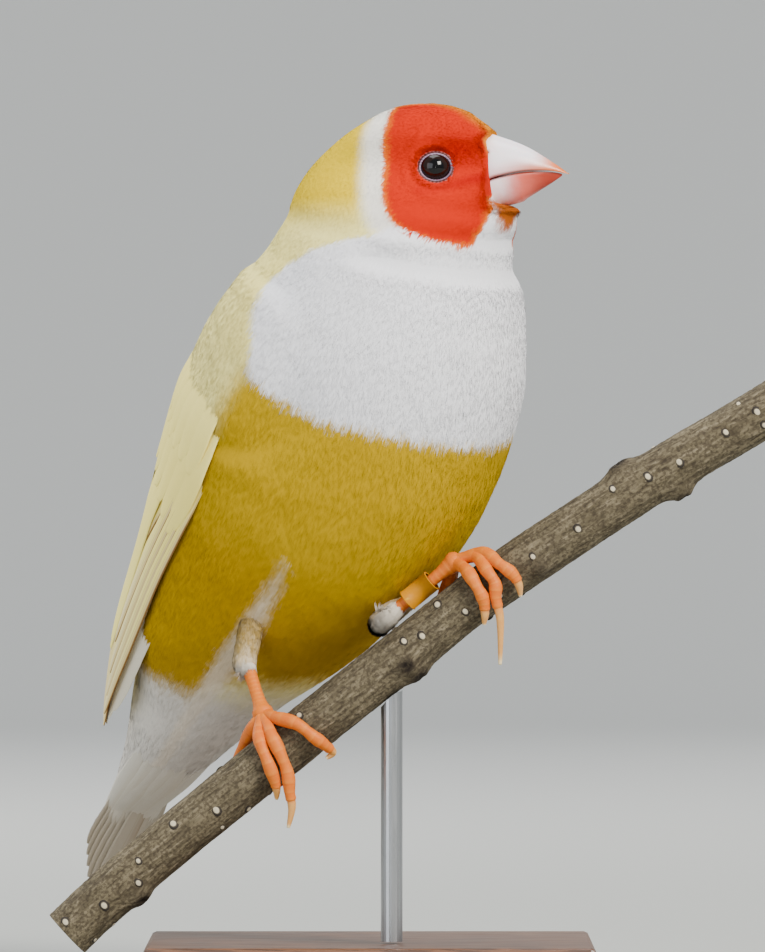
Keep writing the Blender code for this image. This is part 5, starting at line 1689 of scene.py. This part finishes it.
# Feet: ball of the foot, end of the shank and the toes, across and up in millimetres as seen by
# the viewer; the last toe of each foot goes down behind the branch.
feet = {
    "right": {
        "ball": (-14.7, 36.7),
        "heel": (-17.1, -8.2, 43.9),
        "toes": [
            [(-13.0, 36.2), (-10.1, 35.4), (-7.7, 33.6), (-6.1, 32.4), (-5.1, 31.4), (-6.0, 30.6)],
            [(-13.6, 34.0), (-12.4, 31.5), (-11.3, 28.7), (-11.0, 26.0), (-10.7, 23.8), (-11.2, 21.1)],
            [(-15.2, 34.4), (-14.9, 32.5), (-13.9, 29.9), (-13.0, 27.4), (-12.8, 26.2), (-12.8, 25.0)],
            [(-15.9, 35.0), (-17.4, 32.2), (-18.2, 29.6), (-18.6, 26.8), (-18.4, 24.8)],
        ],
        "hang": [1.2, 2.8, 1.3, 1.2],
    },
    "left": {
        "ball": (11.7, 57.6),
        "heel": (2.5, -10.6, 50.0),
        "toes": [
            [(13.3, 56.4), (14.7, 54.2), (15.6, 52.4), (15.8, 50.6), (15.7, 49.0)],
            [(14.6, 58.3), (16.2, 56.2), (17.2, 54.6), (17.3, 52.6), (17.9, 49.6), (17.9, 43.5)],
            [(15.4, 58.8), (17.8, 57.3), (19.5, 56.0), (20.4, 54.6), (20.7, 52.9)],
            [(11.2, 55.4), (9.9, 52.2), (9.4, 49.2), (9.2, 46.4), (9.6, 44.4)],
        ],
        "hang": [1.3, 2.8, 1.3, 1.2],
    },
}

leg = {
    "shank": 0.92,
    "ball": 1.45,
    "toe": 0.92,
    "gap": 0.3,
    "clawStart": 0.74,
    "toeRings": 90,
    "toeSides": 22,
    "scutes": 9,            # plates along a toe
    "shankScutes": 13,
}


def onBark(across, high, reach, hang, side):
    seen = Vector((across * mm, branch["depth"] * mm, high * mm))
    where = branchAt(across * mm)
    for _ in range(4):
        centre, ahead, upper = branchFrame(where)
        where = branchAt(centre.x + (seen - centre).dot(ahead) * ahead.x)
    height = (seen - centre).dot(upper)
    limit = reach * mm if height > 0.0 else reach * hang * mm
    depth = reach * mm * math.sqrt(max(1.0 - (height / limit) ** 2, 0.0))
    return seen - Vector((0.0, side * depth, 0.0))


def legEnds(which):
    across, high = feet[which]["ball"]
    ball = Vector((across * mm, branch["depth"] * mm, high * mm))
    return ball, Vector(feet[which]["heel"]) * mm


# raised plates: each rises slowly along the limb and drops at its end, strongest on the top side
def scute(position, count):
    part = (position * count) % 1.0
    return part ** 0.7 * (1.0 - max(0.0, part - 0.86) / 0.14)


def limbObject(name, path, radii, sides, outward, plates, strength, share):
    rings = []
    field = []
    for index, place in enumerate(path):
        ahead = (path[min(index + 1, len(path) - 1)] - path[max(index - 1, 0)]).normalized()
        top = outward(index, place)
        top = (top - ahead * top.dot(ahead)).normalized()
        beside = ahead.cross(top)
        position = index / (len(path) - 1)
        ring = []
        for side in range(sides):
            turn = 2.0 * math.pi * side / sides
            face = 0.5 + 0.5 * math.cos(turn)
            plate = scute(position, plates)
            under = math.sin(position * plates * math.pi) ** 2
            swell = strength * (plate * face ** 1.5 - 0.5 * face) + 0.9 * strength * under * (1.0 - face) ** 2
            radius = radii[index] * (1.0 + swell)
            ring.append(place + (top * math.cos(turn) + beside * math.sin(turn)) * radius)
            # on the leg skin this field is high on the crest of each plate on the top side and falls to
            # nothing underneath, for painted highlight and painted shade; on a claw it is the place along the
            # claw
            field.append(plate * face ** 0.5 if share < 0.5 else position)
        rings.append(ring)
    made = loft(name, rings)
    setField(made.data, "plate", field + [0.0, 0.0])
    setField(made.data, "limbAlong", [0.5] * (len(field) + 2))
    return made


def makeFoot(which):
    ball, heel = legEnds(which)
    down = (ball - heel).normalized()
    toward = Vector((0.0, -1.0, 0.0))
    skinPieces = []
    clawPieces = []
    # shank from under the feathers of the heel down into the ball of the foot
    count = 70
    path = [heel.lerp(ball, index / (count - 1)) for index in range(count)]
    radii = []
    for index in range(count):
        part = index / (count - 1)
        knuckle = 0.30 * math.exp(-((part - 0.02) / 0.10) ** 2) + 0.42 * math.exp(-((part - 1.0) / 0.14) ** 2)
        radii.append((leg["shank"] * (0.98 + 0.06 * math.cos(part * 6.0)) + knuckle) * mm)
    front = toward + headAhead * 0.4
    skinPieces.append(limbObject("shank", path, radii, 26, lambda i, p: front, leg["shankScutes"],
                                 0.045, 0.0))
    reach = branch["radius"] + leg["gap"] + leg["toe"]
    toes = feet[which]["toes"]
    for order, toe in enumerate(toes):
        side = -1 if order == len(toes) - 1 else 1
        hang = feet[which]["hang"][order]
        points = [ball] + [onBark(across, high, reach, hang, side) for across, high in toe]
        path = smoothPath(points, leg["toeRings"])
        radii = []
        for index in range(leg["toeRings"]):
            part = index / (leg["toeRings"] - 1)
            claw = max(part - leg["clawStart"], 0.0) / (1.0 - leg["clawStart"])
            plain = leg["toe"] * (1.04 - 0.22 * part) * (1.0 - 0.66 * claw)
            joint = 0.10 * math.cos(2.0 * math.pi * (part * 3.4 + 0.1)) * (1.0 - claw)
            radii.append(plain * (1.0 + joint) * mm)

        def outward(index, place, path=path):
            centre = branchFrame(branchAt(place.x))[0]
            return (place - centre).normalized()

        cut = int(leg["toeRings"] * (leg["clawStart"] + 0.035))
        start = int(leg["toeRings"] * (leg["clawStart"] - 0.03))
        fleshRadii = list(radii[:cut])
        for back in range(3):
            fleshRadii[-1 - back] *= 1.0 - 0.35 * (1.0 - back / 3.0) ** 2
        skinPieces.append(limbObject("toe", path[:cut], fleshRadii, leg["toeSides"], outward,
                                     leg["scutes"], 0.05, 0.0))
        clawRadii = [radius * (0.80 + 0.14 * index / max(len(radii) - start, 1))
                     for index, radius in enumerate(radii[start:])]
        clawPieces.append(limbObject("claw", path[start:], clawRadii, 16, outward, 1, 0.0, 1.0))
    knuckles = tubeRings([ball + down * offset * mm for offset in (-1.5, -1.0, -0.4, 0.2, 0.8, 1.2)],
                         [r * mm for r in (0.5, 1.15, 1.45, 1.5, 1.15, 0.45)], 26)
    knuckle = loft("knuckle", knuckles)
    setField(knuckle.data, "plate", [0.4] * len(knuckle.data.vertices))
    setField(knuckle.data, "limbAlong", [0.5] * len(knuckle.data.vertices))
    skinPieces.append(knuckle)
    name = which.capitalize()
    return joinObjects("legSkin" + name, skinPieces), joinObjects("claws" + name, clawPieces)


def legFinish():
    material, tree = newFinish("orangeLegSkin", Roughness=0.55, Specular_IOR_Level=0.3)
    plate = fieldOf(tree, "plate")
    broad = noiseOf(tree, 160.0, 3.0)
    paint = mixColour(tree, broad, colour(224, 124, 26), colour(208, 92, 16))
    # painted highlights on the crests of the plates on the top side, and painted shade underneath and at the
    # start of each plate
    paint = mixColour(tree, stepUp(tree, plate, 0.45, 0.95, 0.0, 0.35), paint, colour(234, 150, 60))
    paint = mixColour(tree, stepUp(tree, plate, 0.14, 0.0, 0.0, 0.5), paint, colour(164, 58, 24))
    scales = addNode(tree, "ShaderNodeTexVoronoi", {"Vector": objectSpace(tree), "Scale": 2600.0},
                     feature="F1").outputs["Distance"]
    height = maths(tree, "MULTIPLY_ADD", scales, -0.5, noiseOf(tree, 1500.0, 3.0))
    plug(tree, Base_Color=paint, Normal=bumpOf(tree, height, 0.35, 0.00012))
    return material


def clawFinish():
    material, tree = newFinish("paleClaw", Roughness=0.35, Coat_Weight=0.2)
    along = fieldOf(tree, "plate")
    streak = noiseOf(tree, 1200.0, 3.0)
    paint = mixColour(tree, streak, colour(226, 176, 96), colour(216, 140, 62))
    paint = mixColour(tree, stepUp(tree, along, 0.35, 0.0), paint, colour(216, 112, 34))
    paint = mixColour(tree, stepUp(tree, along, 0.8, 1.0), paint, colour(244, 226, 176))
    plug(tree, Base_Color=paint, Normal=bumpOf(tree, streak, 0.2, 0.0001))
    return material


# ring round the far shank: a closed band of coloured metal with rounded edges
ring = {"outer": 1.60, "inner": 1.28, "length": 4.5, "place": 6.4, "edge": 0.10, "steps": 96}


def makeRing():
    ball, heel = legEnds("left")
    down = (ball - heel).normalized()
    half = ring["length"] / 2.0
    profile = []
    for corner, (radius, height) in enumerate(((ring["outer"], -half), (ring["outer"], half),
                                               (ring["inner"], half), (ring["inner"], -half))):
        inX = -1.0 if radius == ring["outer"] else 1.0
        inZ = 1.0 if height < 0.0 else -1.0
        for step in range(5):
            turn = math.pi / 2.0 * (step / 4 if corner in (0, 2) else 1.0 - step / 4)
            if corner in (1, 3):
                turn = math.pi / 2.0 * (1.0 - step / 4)
            profile.append((radius + inX * ring["edge"] * (1.0 - math.cos(turn)),
                            height + inZ * ring["edge"] * (1.0 - math.sin(turn))))
    order = profile
    centre = ball - down * ring["place"] * mm
    across = down.orthogonal().normalized()
    beside = down.cross(across)
    rings = []
    for step in range(ring["steps"]):
        turn = 2.0 * math.pi * step / ring["steps"]
        out = across * math.cos(turn) + beside * math.sin(turn)
        rings.append([centre + out * radius * mm + down * height * mm for radius, height in order])
    points = [p for row in rings for p in row]
    sides = len(order)
    faces = ringFaces(len(rings), sides)
    last = (len(rings) - 1) * sides
    for column in range(sides):
        following = (column + 1) % sides
        faces.append((last + column, last + following, following, column))
    made = newObject("legRing", points, faces)
    faceOutwards(made, 1e-6)
    return made


def ringFinish():
    material, tree = newFinish("goldenRingMetal", Roughness=0.5, Specular_IOR_Level=0.15)
    wear = noiseOf(tree, 900.0, 4.0)
    paint = mixColour(tree, noiseOf(tree, 220.0, 2.0), colour(196, 132, 0), colour(182, 118, 0))
    paint = mixColour(tree, stepUp(tree, wear, 0.66, 0.80), paint, colour(214, 170, 40))
    plug(tree, Base_Color=paint, Roughness=stepUp(tree, wear, 0.3, 0.8, 0.40, 0.55),
         Normal=bumpOf(tree, noiseOf(tree, 3200.0, 2.0), 0.12, 0.0001))
    return material


# feathered thighs: a soft cone from the belly down to the heel, covered by the same coat tree
thigh = {
    "radii": {"right": (1.12, 1.55, 1.6, 1.9), "left": (1.12, 1.55, 1.45, 1.2)},
    "over": {"right": 1.4, "left": 1.5},      # how far the feathers run down over the shank
    "back": {"right": 0.4, "left": 1.1},
    "onBelly": {"right": (3.2, 49.0, -1.9), "left": (4.1, -30.0, -2.2)},
    "section": {"right": 3.0, "left": 4.2},
    "reach": 0.55,
    "rings": 60,
    "sides": 44,
    "length": 2.0,
    "number": 30.0,
}


def makeThigh(which):
    ball, heel = legEnds(which)
    down = (ball - heel).normalized()
    knee = heel.lerp(Vector(bodyFrames(np.array([thigh["section"][which]]))[0][0]), thigh["reach"])
    place, turn, lift = thigh["onBelly"][which]
    onBelly = Vector(skinPoints(np.array([place]), np.array([turn]), lift)[0])
    hock = heel - down * thigh["back"][which] * mm
    corners = [heel + down * thigh["over"][which] * mm, hock, onBelly, knee]
    path = smoothPath(corners, thigh["rings"])
    radii = np.interp(np.linspace(0.0, 3.0, thigh["rings"]), range(4), thigh["radii"][which])
    radii[:6] *= np.linspace(0.85, 1.0, 6)
    rings = tubeRings(path, [radius * mm for radius in radii], thigh["sides"])
    return rings, path


def makeThighSkin():
    items = []
    for which in ("right", "left"):
        rings, _ = makeThigh(which)
        items.append(loft("thigh", rings))
    made = joinObjects("thighSkin", items)
    part = []
    for _ in ("right", "left"):
        part += list(np.repeat(np.linspace(0.0, 1.0, thigh["rings"]), thigh["sides"])) + [0.0, 1.0]
    fillThighFields(made.data, np.array(part))
    setField(made.data, "coatNormal", [v.normal for v in made.data.vertices], "FLOAT_VECTOR")
    setField(made.data, "tuftTone", [0.5] * len(made.data.vertices))
    setField(made.data, "tuftAlong", [0.3] * len(made.data.vertices))
    return made


# white at the heel, and taking on the streaked gold of the belly further up
def fillThighFields(mesh, part):
    marks = dict.fromkeys(markFields(np.zeros(1), np.zeros(1)), -5.0)
    marks.update({"markVent": 9.0, "paintedBellyLight": 0.0, "markNape": 0.0, "markLoresAndGapeShadow": 0.0,
                  "markCollar": 0.0, "paintedCrownLight": 0.0,
                  "markBelly": -5.0 + 10.0 * ramp(part, 0.16, 0.46),
                  "markStreak": 1.6 - 1.8 * ramp(part, 0.10, 0.56)})
    for name, value in marks.items():
        setField(mesh, name, value + np.zeros(len(mesh.vertices)))


def makeThighCoat(which, tree, identifiers, tufts):
    rings, path = makeThigh(which)
    points = []
    unwrap = []
    lie = []
    sides = thigh["sides"]
    for index, row in enumerate(rings):
        flow = (path[max(index - 1, 0)] - path[min(index + 1, len(path) - 1)]).normalized()
        for step in range(sides + 1):
            points.append(row[step % sides])
            unwrap.append((0.02 + 0.95 * step / sides, 0.02 + 0.95 * index / (len(rings) - 1), 0.0))
            lie.append(flow)
    carrier = newObject("thighCarrier", points, ringFaces(len(rings), sides + 1, closed=False))
    mesh = carrier.data
    outward = 0.0
    for face in mesh.polygons:
        middle = path[face.vertices[0] // (sides + 1)]
        outward += face.normal.dot(face.center - middle)
    if outward < 0.0:
        mesh.flip_normals()
    mesh.update()
    part = np.repeat(np.linspace(0.0, 1.0, len(rings)), sides + 1)
    fillThighFields(mesh, part)
    setField(mesh, "coatNormal", [v.normal for v in mesh.vertices], "FLOAT_VECTOR")
    length = thigh["length"] * (0.8 + 0.6 * part)
    setField(mesh, "coatLength", length * mm)
    setField(mesh, "coatWidth", length * 0.3 * mm)
    setField(mesh, "coatDensity", [thigh["number"] / mm ** 2] * len(mesh.vertices))
    setField(mesh, "lie", [tuple(v) for v in lie], "FLOAT_VECTOR")
    setField(mesh, "rootUV", unwrap, "FLOAT_VECTOR")
    values = {"Seed": 71, "Least rise": 0.04, "Most rise": 0.15, "Sway": 0.25, "Roll": 0.15,
              "Patch": coat["patch"], "Density": 1.0, "Tufts": tufts}
    return growOn(carrier, tree, identifiers, values, "coatThigh" + which.capitalize())


bark = makeBranch()
barkTree = BVHTree.FromObject(bark, bpy.context.evaluated_depsgraph_get())
handOver(makePores(barkTree, poreFinish()), None, "bark")
handOver(bark, barkFinish(), "bark", "perch")
legLook = legFinish()
clawLook = clawFinish()
for which in ("right", "left"):
    legSkin, claws = makeFoot(which)
    handOver(legSkin, legLook, "leg_skin", "shank_" + which, "foot_" + which)
    handOver(claws, clawLook, "leg_skin")
handOver(makeRing(), ringFinish(), "ring_yellow", "leg_ring")
thighFinish = plumageFinish("thighDown", 0.80)
thighTree, thighInputs = makeCoatTree(thighFinish)
handOver(makeThighSkin(), thighFinish, "white_feathers", "thigh_right", "thigh_left")
for which in ("right", "left"):
    handOver(makeThighCoat(which, thighTree, thighInputs, tuftShapes), None, "white_feathers")
print("branch, legs and ring ready")


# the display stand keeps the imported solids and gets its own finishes
def standFinishes():
    wood, tree = newFinish("darkStainedWood", Roughness=0.42, Coat_Weight=0.25, Coat_Roughness=0.3)
    stretched = objectSpace(tree, (0.7, 9.0, 9.0), (0.0, 0.0, 0.06))
    growth = noiseOf(tree, 60.0, 4.0, stretched)
    growth = maths(tree, "SINE", maths(tree, "MULTIPLY", growth, 42.0))
    pores = noiseOf(tree, 900.0, 3.0, objectSpace(tree, (0.12, 1.6, 1.6)))
    paint = mixColour(tree, stepUp(tree, growth, -0.8, 0.9), colour(74, 46, 30), colour(112, 72, 46))
    paint = mixColour(tree, stepUp(tree, pores, 0.58, 0.72), paint, colour(44, 26, 18))
    plug(tree, Base_Color=paint, Normal=bumpOf(tree, pores, 0.2, 0.0002),
         Roughness=stepUp(tree, pores, 0.3, 0.7, 0.36, 0.52))
    steel, tree = newFinish("brushedSteel", Metallic=1.0, Roughness=0.32)
    brush = noiseOf(tree, 2400.0, 3.0, objectSpace(tree, (1.0, 1.0, 0.05)))
    plug(tree, Base_Color=mixColour(tree, brush, colour(188, 190, 192), colour(160, 162, 165)),
         Roughness=stepUp(tree, brush, 0.3, 0.7, 0.26, 0.40),
         Normal=bumpOf(tree, brush, 0.12, 0.0001))
    for node, material in (("stand_base", wood), ("stand_rod", steel)):
        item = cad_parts[node]
        for place in item.material_slots:
            place.material = material


standFinishes()
print("stand ready")
